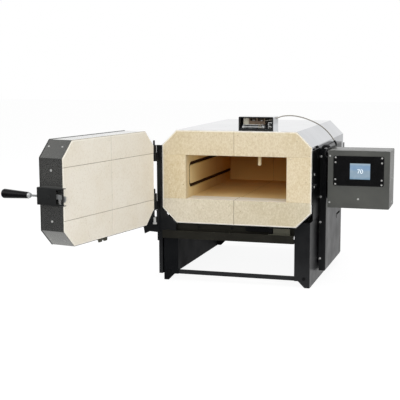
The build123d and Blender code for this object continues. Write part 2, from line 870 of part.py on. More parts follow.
with BuildPart() as control_box_shell:
    with BuildSketch(facing(box_back)):
        with Locations((centre(box_left, box_right), centre(box_low, box_high))):
            Rectangle(box_width, box_high - box_low)
    extrude(amount=box_depth - plate)
    fillet(control_box_shell.edges().filter_by(Axis.Y), radius=1.5 * plate)
    offset(amount=-plate, openings=control_box_shell.faces().sort_by(Axis.Y)[0])
    with BuildSketch(Plane.YZ.offset(box_left - plate)):
        with Locations((loom_y, loom_points[-1][2])):
            Circle(loom_diameter / 2 + seat_gap)
        with Locations((lead_sleeve_points[-1][1], lead_sleeve_points[-1][2] + seat_gap)):
            Circle(lead_sleeve_diameter / 2 + 2 * seat_gap)
    extrude(amount=3 * plate, mode=Mode.SUBTRACT)
control_box_shell.part.label = "control_box_shell"

with BuildPart() as control_box_front:
    with BuildSketch(facing(box_front + plate)):
        with Locations((centre(box_left, box_right), centre(box_low, box_high))):
            RectangleRounded(box_width, box_high - box_low, 1.5 * plate)
        with Locations((screen_left + screen_width / 2, screen_low + screen_height / 2)):
            Rectangle(screen_width + 2 * fit_gap, screen_height + 2 * fit_gap, mode=Mode.SUBTRACT)
    extrude(amount=plate)
control_box_front.part.label = "control_box_front"

with BuildPart() as faceplate:
    with BuildSketch(facing(box_front)):
        with Locations((faceplate_left + faceplate_width / 2,
                        faceplate_low + faceplate_height / 2)):
            RectangleRounded(faceplate_width, faceplate_height, faceplate_corner)
        with Locations((screen_left + screen_width / 2, screen_low + screen_height / 2)):
            Rectangle(screen_width + 2 * fit_gap, screen_height + 2 * fit_gap, mode=Mode.SUBTRACT)
    extrude(amount=faceplate_thickness)
faceplate.part.label = "faceplate"

with BuildPart() as display_screen:
    with BuildSketch(facing(box_front - faceplate_thickness / 2 + screen_depth)):
        with Locations((screen_left + screen_width / 2, screen_low + screen_height / 2)):
            Rectangle(screen_width, screen_height)
    extrude(amount=screen_depth)
display_screen.part.label = "display_screen"

with BuildPart() as circuit_board:
    board_front = box_front - faceplate_thickness / 2 + screen_depth
    with BuildSketch(facing(board_front + board_thickness)):
        with Locations((faceplate_left + faceplate_width / 2,
                        faceplate_low + faceplate_height / 2)):
            Rectangle(faceplate_width, faceplate_height)
    extrude(amount=board_thickness)
    with BuildSketch(facing(board_front)):
        with Locations((faceplate_left + faceplate_width / 2,
                        faceplate_low + faceplate_height / 2)):
            with GridLocations(faceplate_width - 2 * board_post_inset,
                               faceplate_height - 2 * board_post_inset, 2, 2):
                Circle(board_post / 2)
    extrude(amount=board_front - box_front - plate)
circuit_board.part.label = "circuit_board"

with BuildPart() as power_relay:
    relay_back = box_back - plate
    with BuildSketch(facing(relay_back)):
        with Locations((centre(box_left, box_right), box_low + relay_lift)):
            Rectangle(relay_width, relay_height)
    extrude(amount=relay_depth)
    fillet(power_relay.edges().filter_by(Axis.Y), radius=relay_corner)
    chamfer(power_relay.edges().group_by(Axis.Y)[0], length=relay_chamfer)
power_relay.part.label = "power_relay"

face_screws = [
    (x, faceplate_low + lift)
    for x in (faceplate_left + face_screw_inset, faceplate_left + faceplate_width - face_screw_inset)
    for lift in face_screw_lifts
]
box_screws = [
    (box_left + box_screw_inset, z) for z in (box_low + box_screw_drop, box_high - box_screw_drop)
]
door_screw = (centre(box_left, box_right), box_low + door_screw_lift)
side_screw_y = centre(box_front, box_back) - box_screw_inset
with BuildPart() as case_screws:
    with BuildSketch(facing(box_front - faceplate_thickness)):
        with Locations(*face_screws):
            Circle(face_screw_head / 2)
    extrude(amount=rail_head_height)
    with BuildSketch(facing(box_front)):
        with Locations(*box_screws, door_screw):
            Circle(small_head / 2)
    extrude(amount=small_head_height)
    with BuildSketch(Plane.YZ.offset(box_right)):
        for lift in side_screw_lifts:
            with Locations((side_screw_y, box_low + lift)):
                Circle(small_head / 2)
    extrude(amount=small_head_height)
    with BuildSketch(facing(cover_front)):
        with Locations(*cover_screws):
            Circle(screw_head / 2)
    extrude(amount=screw_head_height)
    with BuildSketch(facing(cover_front)):
        with Locations(*cover_screws):
            Circle(screw_shank / 2)
    extrude(amount=-plate)
    with BuildSketch(Plane.YZ.offset(side_out + plate)):
        with Locations(*keeper_screws):
            Circle(screw_head / 2)
    extrude(amount=plate)
case_screws.part.label = "case_screws"


# Stand
def stand_side(side):
    """Channel side of the stand: web, front and rear flanges and cut feet."""
    flange_in = stand_half - stand_flange
    with BuildPart() as channel:
        with BuildSketch(Plane.YZ.offset(side * stand_half)):
            with Locations((stand_back / 2, stand_top / 2)):
                Rectangle(stand_back, stand_top)
        extrude(amount=-side * stand_plate)
        for back in (stand_plate, stand_back):
            with BuildSketch(facing(back)):
                with BuildLine():
                    Polyline((side * inside, 0), (side * (stand_half - foot_tip), 0),
                             (side * (stand_half - foot_tip - foot_slope), foot_height),
                             (side * flange_in, foot_height),
                             (side * flange_in, case_low - flange_clear),
                             (side * (flange_in + flange_clear), case_low - flange_clear),
                             (side * (flange_in + 2 * flange_clear + stand_top - case_low),
                              stand_top),
                             (side * inside, stand_top), close=True)
                make_face()
            extrude(amount=stand_plate)
        if side < 0:
            with BuildSketch(facing(stand_plate)):
                with Locations((side * flange_in, centre(rail_low, stand_top))):
                    Rectangle(2 * (inside - flange_in), stand_top - rail_low)
            extrude(amount=stand_plate, mode=Mode.SUBTRACT)
        fillet(channel.edges().filter_by(Axis.Z).sort_by(Axis.X)[:2] if side < 0
               else channel.edges().filter_by(Axis.Z).sort_by(Axis.X)[-2:], radius=stand_plate)
    return channel


stand_side_left = stand_side(-1)
stand_side_left.part.label = "stand_side_left"
stand_side_right = stand_side(1)
stand_side_right.part.label = "stand_side_right"

with BuildPart() as stand_front_rail:
    with BuildSketch(Plane.YZ.offset(rail_left)):
        with BuildLine():
            Polyline((rail_front, rail_low), (rail_front, rail_high), (ledge_back, rail_high),
                     (ledge_back, rail_high - stand_plate),
                     (rail_front + stand_plate, rail_high - stand_plate),
                     (rail_front + stand_plate, rail_low), close=True)
        make_face()
    extrude(amount=rail_right - rail_left)
    with BuildSketch(facing(ledge_back)):
        with Locations((0, centre(rail_high - stand_plate, case_low))):
            Rectangle(2 * inside, case_low - rail_high + stand_plate)
    extrude(amount=stand_plate)
    with BuildSketch(Plane.XY.offset(rail_high - 2 * stand_plate)):
        with Locations((rail_left, centre(rail_front + stand_plate, ledge_back))):
            Rectangle(2 * (-rail_left - inside), ledge_back - rail_front - stand_plate)
    extrude(amount=3 * stand_plate, mode=Mode.SUBTRACT)
    fillet(stand_front_rail.edges().filter_by(Axis.X).group_by(Axis.Y)[0].sort_by(Axis.Z)[-1],
           radius=0.9 * stand_plate)
stand_front_rail.part.label = "stand_front_rail"

with BuildPart() as stand_rear_rail:
    with BuildSketch(facing(stand_back - stand_plate)):
        with Locations((0, centre(rail_low, case_low - stand_plate))):
            Rectangle(2 * inside, case_low - stand_plate - rail_low)
    extrude(amount=stand_plate)
stand_rear_rail.part.label = "stand_rear_rail"

with BuildPart() as stand_bars:
    for flange, turn in ((stand_plate, 1), (stand_back - stand_plate, -1)):
        with BuildSketch(Plane.YZ.offset(-stand_half + foot_tip)):
            with BuildLine():
                Polyline((flange, bar_low), (flange, bar_low + bar_height),
                         (flange + turn * stand_plate, bar_low + bar_height),
                         (flange + turn * stand_plate, bar_low + stand_plate),
                         (flange + turn * bar_depth, bar_low + stand_plate),
                         (flange + turn * bar_depth, bar_low), close=True)
            make_face()
        extrude(amount=2 * (stand_half - foot_tip))
stand_bars.part.label = "stand_bars"

# Two runners under the sleeve carry the body between the stand sides
with BuildPart() as body_runners:
    for side in (-1, 1):
        with BuildSketch(facing(stand_back - 2 * stand_plate)):
            with BuildLine():
                Polyline((side * inside, case_low - runner_height), (side * inside, case_low),
                         (side * (stand_half - runner_width), case_low),
                         (side * (stand_half - runner_width), case_low - stand_plate),
                         (side * (inside - stand_plate), case_low - stand_plate),
                         (side * (inside - stand_plate), case_low - runner_height), close=True)
            make_face()
        extrude(amount=stand_back - 2 * stand_plate - ledge_back)
body_runners.part.label = "body_runners"

with BuildPart() as stand_screws:
    with BuildSketch(facing(0)):
        with Locations(*bolt_places):
            RegularPolygon(radius=bolt_across / 2, side_count=6, major_radius=False)
    extrude(amount=bolt_height / 2)
    with BuildSketch(facing(stand_back + bolt_height / 2)):
        with Locations(*bolt_places):
            RegularPolygon(radius=bolt_across / 2, side_count=6, major_radius=False)
    extrude(amount=bolt_height / 2)
    with BuildSketch(facing(ledge_back - stand_plate)):
        for place in rail_screw_places:
            with Locations((place, rail_high + rail_screw_lift)):
                Circle(small_head / 2)
    extrude(amount=rail_head_height)
stand_screws.part.label = "stand_screws"

# Hinge post with its half barrels, pins and washers
with BuildPart() as hinge_post:
    with BuildSketch(facing(0)):
        with BuildLine():
            Polyline((post_right, foot_height), (post_foot_left, foot_height),
                     (post_foot_left, post_step), (post_left, post_step),
                     (post_left, post_top), (post_right, post_top), close=True)
        make_face()
        with BuildLine():
            Polyline((post_right, rail_high + seat_gap), (gusset_right, rail_high + seat_gap),
                     (gusset_right, case_low - stand_plate), (post_right, gusset_top), close=True)
        make_face()
    extrude(amount=stand_plate)
    with BuildSketch(Plane.YZ.offset(post_right)):
        with Locations((post_depth / 2, centre(foot_height, post_top))):
            Rectangle(post_depth, post_top - foot_height)
    extrude(amount=-plate)
    with BuildSketch(Plane.YZ.offset(-stand_half)):
        for level in post_weld_heights:
            with Locations((post_depth - 2 * stand_plate - weld_spot / 2, level)):
                Circle(weld_spot / 2)
    extrude(amount=post_right + stand_half)
    for low in hinge_lows:
        with BuildSketch(Plane.XY.offset(low)):
            with Locations((hinge_x, hinge_y)):
                Circle(barrel_diameter / 2)
            with Locations((centre(hinge_x, post_left + barrel_diameter / 2),
                            centre(hinge_y, -stand_plate))):
                Rectangle(post_left + barrel_diameter / 2 - hinge_x, -stand_plate - hinge_y)
            with Locations((hinge_x, hinge_y)):
                Circle(pin_diameter / 2 + pin_play, mode=Mode.SUBTRACT)
        extrude(amount=half_barrel - barrel_gap)
hinge_post.part.label = "hinge_post"

with BuildPart() as hinge_pins:
    for low in hinge_lows:
        with BuildSketch(Plane.XY.offset(low - washer_thickness)):
            with Locations((hinge_x, hinge_y)):
                Circle(washer_diameter / 2)
        extrude(amount=washer_thickness)
        with BuildSketch(Plane.XY.offset(low)):
            with Locations((hinge_x, hinge_y)):
                Circle(pin_diameter / 2)
        extrude(amount=barrel_length + pin_proud)
        chamfer(hinge_pins.edges().group_by(Axis.Z)[-1], length=pin_diameter / 6)
hinge_pins.part.label = "hinge_pins"

shelf_low = hinge_lows[0] - shelf_drop
with BuildPart() as pivot_bracket:
    with BuildSketch(facing(-stand_plate)):
        with BuildLine():
            Polyline(*[(hinge_x + x, hinge_lows[0] + z) for x, z in bracket_outline], close=True)
        make_face()
        with Locations((hinge_x, hinge_lows[0] - bracket_slot_drop)):
            SlotOverall(bracket_slot_length, bracket_slot_width, rotation=90, mode=Mode.SUBTRACT)
    extrude(amount=bracket_plate)
    with BuildSketch(Plane.XY.offset(shelf_low)):
        with Locations((hinge_x, hinge_y)):
            RectangleRounded(shelf_width, shelf_depth, bracket_plate)
        with Locations((hinge_x, centre(hinge_y, -stand_plate - bracket_plate))):
            Rectangle(shelf_width, -stand_plate - bracket_plate - hinge_y)
    extrude(amount=bracket_plate)
pivot_bracket.part.label = "pivot_bracket"

with BuildPart() as pivot_bolt:
    head_low = shelf_low + bracket_plate
    with BuildSketch(Plane.XY.offset(head_low)):
        with Locations((hinge_x, hinge_y)):
            RegularPolygon(radius=pivot_across / 2, side_count=6, major_radius=False)
    extrude(amount=pivot_head)
    with BuildSketch(Plane.XY.offset(head_low + pivot_head)):
        with Locations((hinge_x, hinge_y)):
            Circle(pivot_shank / 2)
    extrude(amount=pivot_length)
    chamfer(pivot_bolt.edges().group_by(Axis.Z)[-1], length=pivot_chamfer)
pivot_bolt.part.label = "pivot_bolt"

# Keeper of the latch on the side plate
with BuildPart() as latch_keeper:
    with BuildSketch(Plane.YZ.offset(side_out)):
        with Locations((centre(keeper_base_front, keeper_base_back),
                        centre(keeper_base_low, keeper_base_high))):
            RectangleRounded(keeper_base_back - keeper_base_front,
                             keeper_base_high - keeper_base_low, keeper_corner)
    extrude(amount=plate)
    with BuildSketch(Plane.YZ.offset(side_out + plate)):
        with Locations((keeper_y, keeper_z)):
            Circle(keeper_pin_diameter / 2)
    extrude(amount=latch_out - plate - keeper_tip_gap - side_out - plate)
    chamfer(latch_keeper.edges().group_by(Axis.X)[-1], length=keeper_tip_chamfer)
latch_keeper.part.label = "latch_keeper"

# Door switch on the front ledge
with BuildPart() as switch_bracket:
    upright_left = switch_x + switch_hub / 2 + sheet
    upright_top = switch_lever_high - sheet
    with BuildSketch(Plane.XY.offset(rail_high)):
        with Locations((centre(switch_bracket_left, switch_bracket_right),
                        switch_bracket_middle)):
            Rectangle(switch_bracket_right - switch_bracket_left, switch_bracket_depth)
    extrude(amount=plate)
    with BuildSketch(facing(switch_y + plate / 2)):
        with Locations((centre(upright_left, switch_bracket_right),
                        centre(rail_high, upright_top))):
            Rectangle(switch_bracket_right - upright_left, upright_top - rail_high)
    extrude(amount=plate)
    with BuildSketch(Plane.XY.offset(rail_high + plate)):
        with Locations((switch_x, switch_y)):
            Circle(switch_pin_diameter / 2)
    extrude(amount=switch_lever_high + switch_pin_proud - rail_high - plate)
switch_bracket.part.label = "switch_bracket"

with BuildPart() as switch_lever:
    with BuildSketch(Plane.XY.offset(switch_lever_low)):
        with Locations((switch_x, switch_y)):
            Circle(switch_hub / 2)
    extrude(amount=switch_lever_high - switch_lever_low)
    with BuildSketch(Plane.XY.offset(switch_lever_low + switch_arm_lift)):
        with Locations((centre(switch_arm_end, switch_x),
                        switch_arm_front + switch_arm_thickness / 2)):
            Rectangle(switch_x - switch_arm_end, switch_arm_thickness)
    extrude(amount=switch_lever_high - switch_lever_low - switch_arm_lift)
    with Locations((switch_x, switch_y, switch_lever_high)):
        Hole(radius=switch_pin_diameter / 2 + pin_play)
switch_lever.part.label = "switch_lever"

# Door, closed: six bricks in a band with a back plate
with BuildPart() as door_bricks:
    with BuildSketch(facing(door_hot)):
        with BuildLine():
            Polyline(*octagon(0), close=True)
        make_face()
        with Locations((0, centre(body_lift, body_top))):
            Rectangle(mortar, 2 * body_height, mode=Mode.SUBTRACT)
        for joint in door_joints:
            with Locations((0, body_lift + joint)):
                Rectangle(2 * body_width, mortar, mode=Mode.SUBTRACT)
    extrude(amount=brick)
    chamfer(door_bricks.edges().group_by(Axis.Y)[-1], length=arris)
door_bricks.part.label = "door_bricks"

with BuildPart() as door_band:
    with BuildSketch(facing(band_hot)):
        with BuildLine():
            Polyline(*octagon(sleeve_gap + sheet), close=True)
        make_face()
        with BuildLine():
            Polyline(*octagon(sleeve_gap), close=True)
        make_face(mode=Mode.SUBTRACT)
    extrude(amount=band_hot - door_cold)
door_band.part.label = "door_band"

with BuildPart() as door_back_plate:
    with BuildSketch(facing(door_cold)):
        with BuildLine():
            Polyline(*octagon(sleeve_gap + sheet + door_plate_lip), close=True)
        make_face()
    extrude(amount=door_plate)
door_back_plate.part.label = "door_back_plate"

with BuildPart() as door_hinge_arms:
    for low in hinge_lows:
        with BuildSketch(Plane.XY.offset(low + half_barrel)):
            with Locations((hinge_x, hinge_y)):
                Circle(barrel_diameter / 2)
            with Locations((centre(hinge_x, -sleeve_out), centre(arm_front, arm_back))):
                Rectangle(-sleeve_out - hinge_x - barrel_diameter, arm_back - arm_front)
            with Locations((centre(hinge_x, -sleeve_out), hinge_y)):
                Rectangle(-sleeve_out - hinge_x, barrel_diameter / 2)
            with Locations((-sleeve_out - plate / 2, centre(arm_leaf_front, arm_back))):
                Rectangle(plate, arm_back - arm_leaf_front)
            with Locations((hinge_x, hinge_y)):
                Circle(pin_diameter / 2 + pin_play, mode=Mode.SUBTRACT)
        extrude(amount=half_barrel)
door_hinge_arms.part.label = "door_hinge_arms"

with BuildPart() as switch_striker:
    with BuildSketch(Plane.YZ.offset(striker_left)):
        with BuildLine():
            Polyline((striker_front, case_low), (striker_back, case_low),
                     (striker_back, case_low - striker_drop),
                     (striker_back - plate, case_low - striker_drop),
                     (striker_back - plate, case_low - plate), (striker_front, case_low - plate),
                     close=True)
        make_face()
    extrude(amount=striker_right - striker_left)
    with BuildSketch(facing(0)):
        with Locations((centre(striker_left, striker_right), case_low - striker_drop)):
            Rectangle(striker_notch, striker_drop)
    extrude(amount=2 * plate, mode=Mode.SUBTRACT)
    fillet(switch_striker.edges().filter_by(Axis.Y).group_by(Axis.Z)[0], radius=striker_round)
switch_striker.part.label = "switch_striker"

# Latch on the free edge of the door
with BuildPart() as latch_housing:
    with BuildSketch(Plane.YZ.offset(sleeve_out)):
        with Locations((centre(latch_cold, latch_hot), centre(latch_low, latch_high))):
            Rectangle(latch_hot - latch_cold, latch_high - latch_low)
    extrude(amount=latch_out - sleeve_out)
    fillet(latch_housing.edges().filter_by(Axis.Y).group_by(Axis.X)[-1], radius=plate)
    with BuildSketch(Plane.YZ.offset(sleeve_out)):
        with Locations((centre(latch_cold + plate, latch_hot + plate),
                        centre(latch_low, latch_high))):
            Rectangle(latch_hot - latch_cold, latch_high - latch_low - 2 * plate)
    extrude(amount=latch_out - plate - sleeve_out, mode=Mode.SUBTRACT)
    with BuildSketch(facing(latch_hot + plate)):
        with Locations((sleeve_out, centre(latch_low, latch_high))):
            Rectangle(2 * (latch_clear - sleeve_out), 2 * (latch_high - latch_low))
    extrude(amount=latch_hot + plate - band_hot, mode=Mode.SUBTRACT)
    with BuildSketch(Plane.YZ.offset(latch_out - 2 * plate)):
        with Locations((centre(window_front, window_back), centre(latch_low, latch_high))):
            RectangleRounded(window_back - window_front,
                             latch_high - latch_low - 2 * window_margin, window_corner)
        with Locations((latch_pivot_y, latch_pivot_z)):
            Circle(latch_pin_diameter / 2 + fit_gap)
    extrude(amount=3 * plate, mode=Mode.SUBTRACT)
    with BuildSketch(facing(latch_cold + 2 * plate)):
        with Locations((lever_x, latch_pivot_z - rod_slot_drop)):
            SlotOverall(rod_slot_length, rod_slot_width, rotation=90)
    extrude(amount=3 * plate, mode=Mode.SUBTRACT)
latch_housing.part.label = "latch_housing"

with BuildPart() as latch_pin:
    lever_low_x = lever_x - lever_thickness / 2 - collar_gap
    lever_high_x = lever_x + lever_thickness / 2 + collar_gap
    with BuildSketch(Plane.YZ.offset(sleeve_out + seat_gap)):
        with Locations((latch_pivot_y, latch_pivot_z)):
            Circle(latch_pin_diameter / 2)
    extrude(amount=latch_out - sleeve_out - seat_gap)
    for near, far in ((sleeve_out + seat_gap, lever_low_x), (lever_high_x, latch_out - plate),
                      (latch_out, latch_out + latch_pin_head)):
        with BuildSketch(Plane.YZ.offset(near)):
            with Locations((latch_pivot_y, latch_pivot_z)):
                Circle(latch_pin_collar / 2)
        extrude(amount=far - near)
    fillet(latch_pin.edges().group_by(Axis.X)[-1], radius=latch_pin_round)
latch_pin.part.label = "latch_pin"

hook_low = keeper_z + keeper_pin_diameter / 2 + keeper_clear
hook_in = keeper_y + keeper_pin_diameter / 2 + keeper_clear + collar_gap
with BuildPart() as latch_spring:
    with BuildSketch(Plane.XY.offset(latch_low + plate)):
        with Locations((lever_x, spring_y)):
            Circle(spring_outer / 2)
            Circle(spring_inner / 2, mode=Mode.SUBTRACT)
    extrude(amount=hook_low - seat_gap - latch_low - plate)
latch_spring.part.label = "latch_spring"

grip_start = rod_out - ferrule_length + grip_seat
with BuildPart() as latch_lever:
    nose_out = hook_in + lever_nose_back
    nose_low = hook_low - lever_nose_drop
    half_rod = rod_diameter / 2
    with BuildSketch(Plane.YZ.offset(lever_x - lever_thickness / 2)) as profile:
        with BuildLine():
            Polyline((lever_tail, latch_pivot_z - half_rod),
                     (latch_pivot_y - lever_shoulder, latch_pivot_z - lever_waist),
                     (latch_pivot_y + lever_waist, latch_pivot_z - lever_waist),
                     (latch_pivot_y + 2 * lever_waist, hook_low), (hook_in, hook_low),
                     (hook_in, nose_low), (centre(hook_in, nose_out), nose_low),
                     (nose_out, nose_low + lever_nose_back), (nose_out, latch_pivot_z + half_rod),
                     (latch_pivot_y + 2 * lever_waist + lever_shoulder, latch_pivot_z + 6),
                     (latch_pivot_y + lever_waist, latch_pivot_z + lever_waist),
                     (latch_pivot_y - lever_shoulder, latch_pivot_z + lever_waist),
                     (lever_tail, latch_pivot_z + half_rod), close=True)
        make_face()
        fillet(profile.vertices().group_by(Axis.X)[-1], radius=lever_nose_round)
        fillet(profile.vertices().group_by(Axis.X)[0], radius=lever_tail_round)
        with Locations((latch_pivot_y, latch_pivot_z)):
            Circle(latch_pin_diameter / 2 + pin_play, mode=Mode.SUBTRACT)
    extrude(amount=lever_thickness)
    with BuildSketch(facing(rod_root)):
        with Locations((lever_x, latch_pivot_z)):
            Circle(rod_diameter / 2)
    extrude(amount=rod_root - grip_start + rod_in_grip)
latch_lever.part.label = "latch_lever"

with BuildPart() as handle_ferrule:
    with BuildSketch(facing(rod_out)):
        with Locations((lever_x, latch_pivot_z)):
            Circle(ferrule_diameter / 2)
            Circle(rod_diameter / 2 + fit_gap, mode=Mode.SUBTRACT)
    extrude(amount=ferrule_length)
    chamfer(handle_ferrule.edges().group_by(Axis.Y)[-1].sort_by(SortBy.RADIUS)[-1],
            length=ferrule_chamfer)
handle_ferrule.part.label = "handle_ferrule"

with BuildPart() as handle_grip:
    grip_end = grip_start - grip_length
    with BuildSketch(Plane.XY.offset(latch_pivot_z)):
        with BuildLine():
            thin_end = (lever_x + grip_thin / 2, grip_start)
            fat_end = (lever_x + grip_fat / 2, grip_end + grip_shoulder)
            crown = (lever_x + grip_fat / 4, grip_end + grip_crown)
            Line((lever_x, grip_start), thin_end)
            Line(thin_end, fat_end)
            TangentArc(fat_end, crown, tangent=(fat_end[0] - thin_end[0], fat_end[1] - thin_end[1]))
            Line(crown, (lever_x, grip_end))
            Line((lever_x, grip_end), (lever_x, grip_start))
        make_face()
    revolve(axis=Axis((lever_x, 0, latch_pivot_z), (0, 1, 0)))
    with BuildSketch(facing(grip_start)):
        with Locations((lever_x, latch_pivot_z)):
            Circle(ferrule_diameter / 2 + fit_gap)
    extrude(amount=grip_seat, mode=Mode.SUBTRACT)
    with BuildSketch(facing(grip_start)):
        with Locations((lever_x, latch_pivot_z)):
            Circle(rod_diameter / 2 + fit_gap)
    extrude(amount=rod_in_grip + seat_gap, mode=Mode.SUBTRACT)
handle_grip.part.label = "handle_grip"

with BuildPart() as door_screws:
    for lift in band_screw_lifts:
        with BuildSketch(Plane.YZ.offset(sleeve_out)):
            with Locations((centre(band_hot, door_cold), body_lift + lift)):
                Circle(small_head / 2)
        extrude(amount=small_head_height)
door_screws.part.label = "door_screws"

# Every piece by the body that carries it
cabinet_pieces = [
    front_top_bricks, front_bottom_bricks, roof_bricks, floor_bricks, side_bricks_left,
    side_bricks_right, back_bricks, heating_elements, element_bushings, terminal_posts,
    case_wrap, case_back, rear_cover, thermocouple_sheath, terminal_strap, terminal_hardware,
    terminal_block, probe_insulator, thermocouple_cover, thermocouple_lead, lead_sleeve,
    wiring_loom, side_plate, cover_mounts, wiring_cover, cord_gland, control_bracket,
    control_box_shell, control_box_front, faceplate, display_screen, circuit_board,
    power_relay, case_screws, stand_side_left, stand_side_right, stand_front_rail,
    stand_rear_rail, stand_bars, body_runners, stand_screws, hinge_post, hinge_pins,
    pivot_bracket, pivot_bolt, latch_keeper, switch_bracket, switch_lever,
]
door_pieces = [
    door_bricks, door_band, door_back_plate, door_hinge_arms, switch_striker, latch_housing,
    latch_pin, latch_spring, door_screws, latch_lever, handle_ferrule, handle_grip,
]

# The door and latch are turned to the open rest place about the hinge
door_turn = (Pos(hinge_x, hinge_y, 0) * Rot(0, 0, -door_rest_angle)
             * Pos(-hinge_x, -hinge_y, 0))
placed = {piece.part.label: piece.part for piece in cabinet_pieces}
placed.update({piece.part.label: door_turn * piece.part for piece in door_pieces})

# The whole rest box is centred over the origin and stands on Z = 0
boxes = [piece.bounding_box() for piece in placed.values()]
low_x, high_x = min(b.min.X for b in boxes), max(b.max.X for b in boxes)
low_y, high_y = min(b.min.Y for b in boxes), max(b.max.Y for b in boxes)
low_z, high_z = min(b.min.Z for b in boxes), max(b.max.Z for b in boxes)
shift = Vector(-centre(low_x, high_x), -centre(low_y, high_y), -low_z)
os.makedirs("parts", exist_ok=True)
for name, piece in placed.items():
    moved = Pos(*shift) * piece
    moved.label = name
    export_step(moved, f"parts/{name}.step")


def show(name, point, turned=False):
    """Print a point of the model in the shifted frame."""
    location = Pos(*shift) * (door_turn if turned else Pos(0, 0, 0)) * Pos(*point)
    print(name, [round(value, 3) for value in location.position])


print("nodes", len(placed), "size", round(high_x - low_x, 2), round(high_y - low_y, 2),
      round(high_z - low_z, 2), "shift", [round(v, 3) for v in shift])
show("hinge axis", (hinge_x, hinge_y, hinge_lows[0]))
show("latch pivot", (lever_x, latch_pivot_y, latch_pivot_z), turned=True)
show("switch pivot", (switch_x, switch_y, switch_lever_low))
print("latch axis", round(cos(radians(-door_rest_angle)), 5), round(sin(radians(-door_rest_angle)), 5))
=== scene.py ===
from math import cos, pi, radians, sin

import bpy
from mathutils import Matrix, Vector
from mathutils.geometry import delaunay_2d_cdt


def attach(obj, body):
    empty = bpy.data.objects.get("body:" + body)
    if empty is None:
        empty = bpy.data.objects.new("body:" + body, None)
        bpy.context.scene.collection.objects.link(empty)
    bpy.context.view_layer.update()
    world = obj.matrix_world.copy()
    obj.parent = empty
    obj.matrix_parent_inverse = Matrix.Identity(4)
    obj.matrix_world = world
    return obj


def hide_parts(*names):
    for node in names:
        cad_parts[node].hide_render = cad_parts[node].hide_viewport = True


# A bench tempering oven: an octagonal firebrick chamber in a bright sleeve, on a folded
# black stand, with its brick door swung open to the left and a control box on the right.
# Places are in millimetres from the front brick face and the bench, as the part's source
# has them: X to the right, Y to the back, Z up. Pieces on the door are given with the
# door closed and turned with it to the open rest place.

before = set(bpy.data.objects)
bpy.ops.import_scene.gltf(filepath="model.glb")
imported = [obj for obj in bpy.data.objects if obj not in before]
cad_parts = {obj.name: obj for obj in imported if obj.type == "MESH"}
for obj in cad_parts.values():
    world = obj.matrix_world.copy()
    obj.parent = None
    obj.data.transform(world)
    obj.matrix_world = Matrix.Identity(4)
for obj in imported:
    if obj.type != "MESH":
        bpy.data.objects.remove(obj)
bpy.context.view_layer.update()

millimetre = 0.001
frame_origin = Vector((32.57, -56.567, 0.0))
hinge_axis = Vector((-216.0, -11.0, 0.0))
door_open_angle = radians(101.08)
door_swing = Matrix.Rotation(-door_open_angle, 3, "Z")
front, back, right = Vector((0, -1, 0)), Vector((0, 1, 0)), Vector((1, 0, 0))
diagonal = 0.7071
face_half_width = 196.85
face_half_height = 120.65
face_corner = 38.1
face_middle = 276.15
screen_low, screen_high = 277.5, 317.5


def on_cabinet(x, y, z):
    """Place of a point on the cabinet in the shared frame, in metres."""
    return (Vector((x, y, z)) + frame_origin) * millimetre


def on_door(x, y, z):
    """Place of a point on the door, given with the door closed, at the open rest place."""
    return (door_swing @ (Vector((x, y, z)) - hinge_axis) + hinge_axis + frame_origin) * millimetre


# Node trees
class Graph:
    """A node tree under way: nodes are added, set and linked in one call each."""

    def __init__(self, tree):
        self.tree = tree
        self.nodes = tree.nodes
        self.links = tree.links

    def put(self, socket, value):
        """Link an input to another node's output, or give it a plain value."""
        if isinstance(value, bpy.types.NodeSocket):
            self.links.new(value, socket)
        else:
            socket.default_value = value

    def feed(self, node, **values):
        """Set or link a node's inputs by name."""
        for name, value in values.items():
            self.put(node.inputs[name.replace("_", " ")], value)

    def add(self, kind, settings=(), **values):
        """Add a node with its settings and inputs."""
        node = self.nodes.new(kind)
        for name, value in dict(settings).items():
            setattr(node, name, value)
        self.feed(node, **values)
        return node

    def maths(self, operation, *terms, kind="ShaderNodeMath", **values):
        """Arithmetic on values, or on vectors with the kind of node for them."""
        node = self.add(kind, {"operation": operation}, **values)
        for socket, value in zip(node.inputs, terms):
            self.put(socket, value)
        return node.outputs[0]

    def spread(self, value, low, high, start=0.0, end=1.0):
        """Value taken from one range to another and held there."""
        return self.add("ShaderNodeMapRange", Value=value, From_Min=low, From_Max=high,
                        To_Min=start, To_Max=end).outputs["Result"]

    def mixed(self, amount, first, second, kind="RGBA"):
        """Colour between two colours, or value between two values with kind FLOAT."""
        node = self.add("ShaderNodeMix", {"data_type": kind})
        first_input, output = {"RGBA": (6, 2), "FLOAT": (2, 0)}[kind]
        self.put(node.inputs[0], amount)
        self.put(node.inputs[first_input], first)
        self.put(node.inputs[first_input + 1], second)
        return node.outputs[output]


# Finishes
def colour(code):
    """Linear colour of a six digit hex code."""
    shares = [int(code[i:i + 2], 16) / 255 for i in (0, 2, 4)]
    return tuple(s / 12.92 if s <= 0.04045 else ((s + 0.055) / 1.055) ** 2.4
                 for s in shares) + (1.0,)


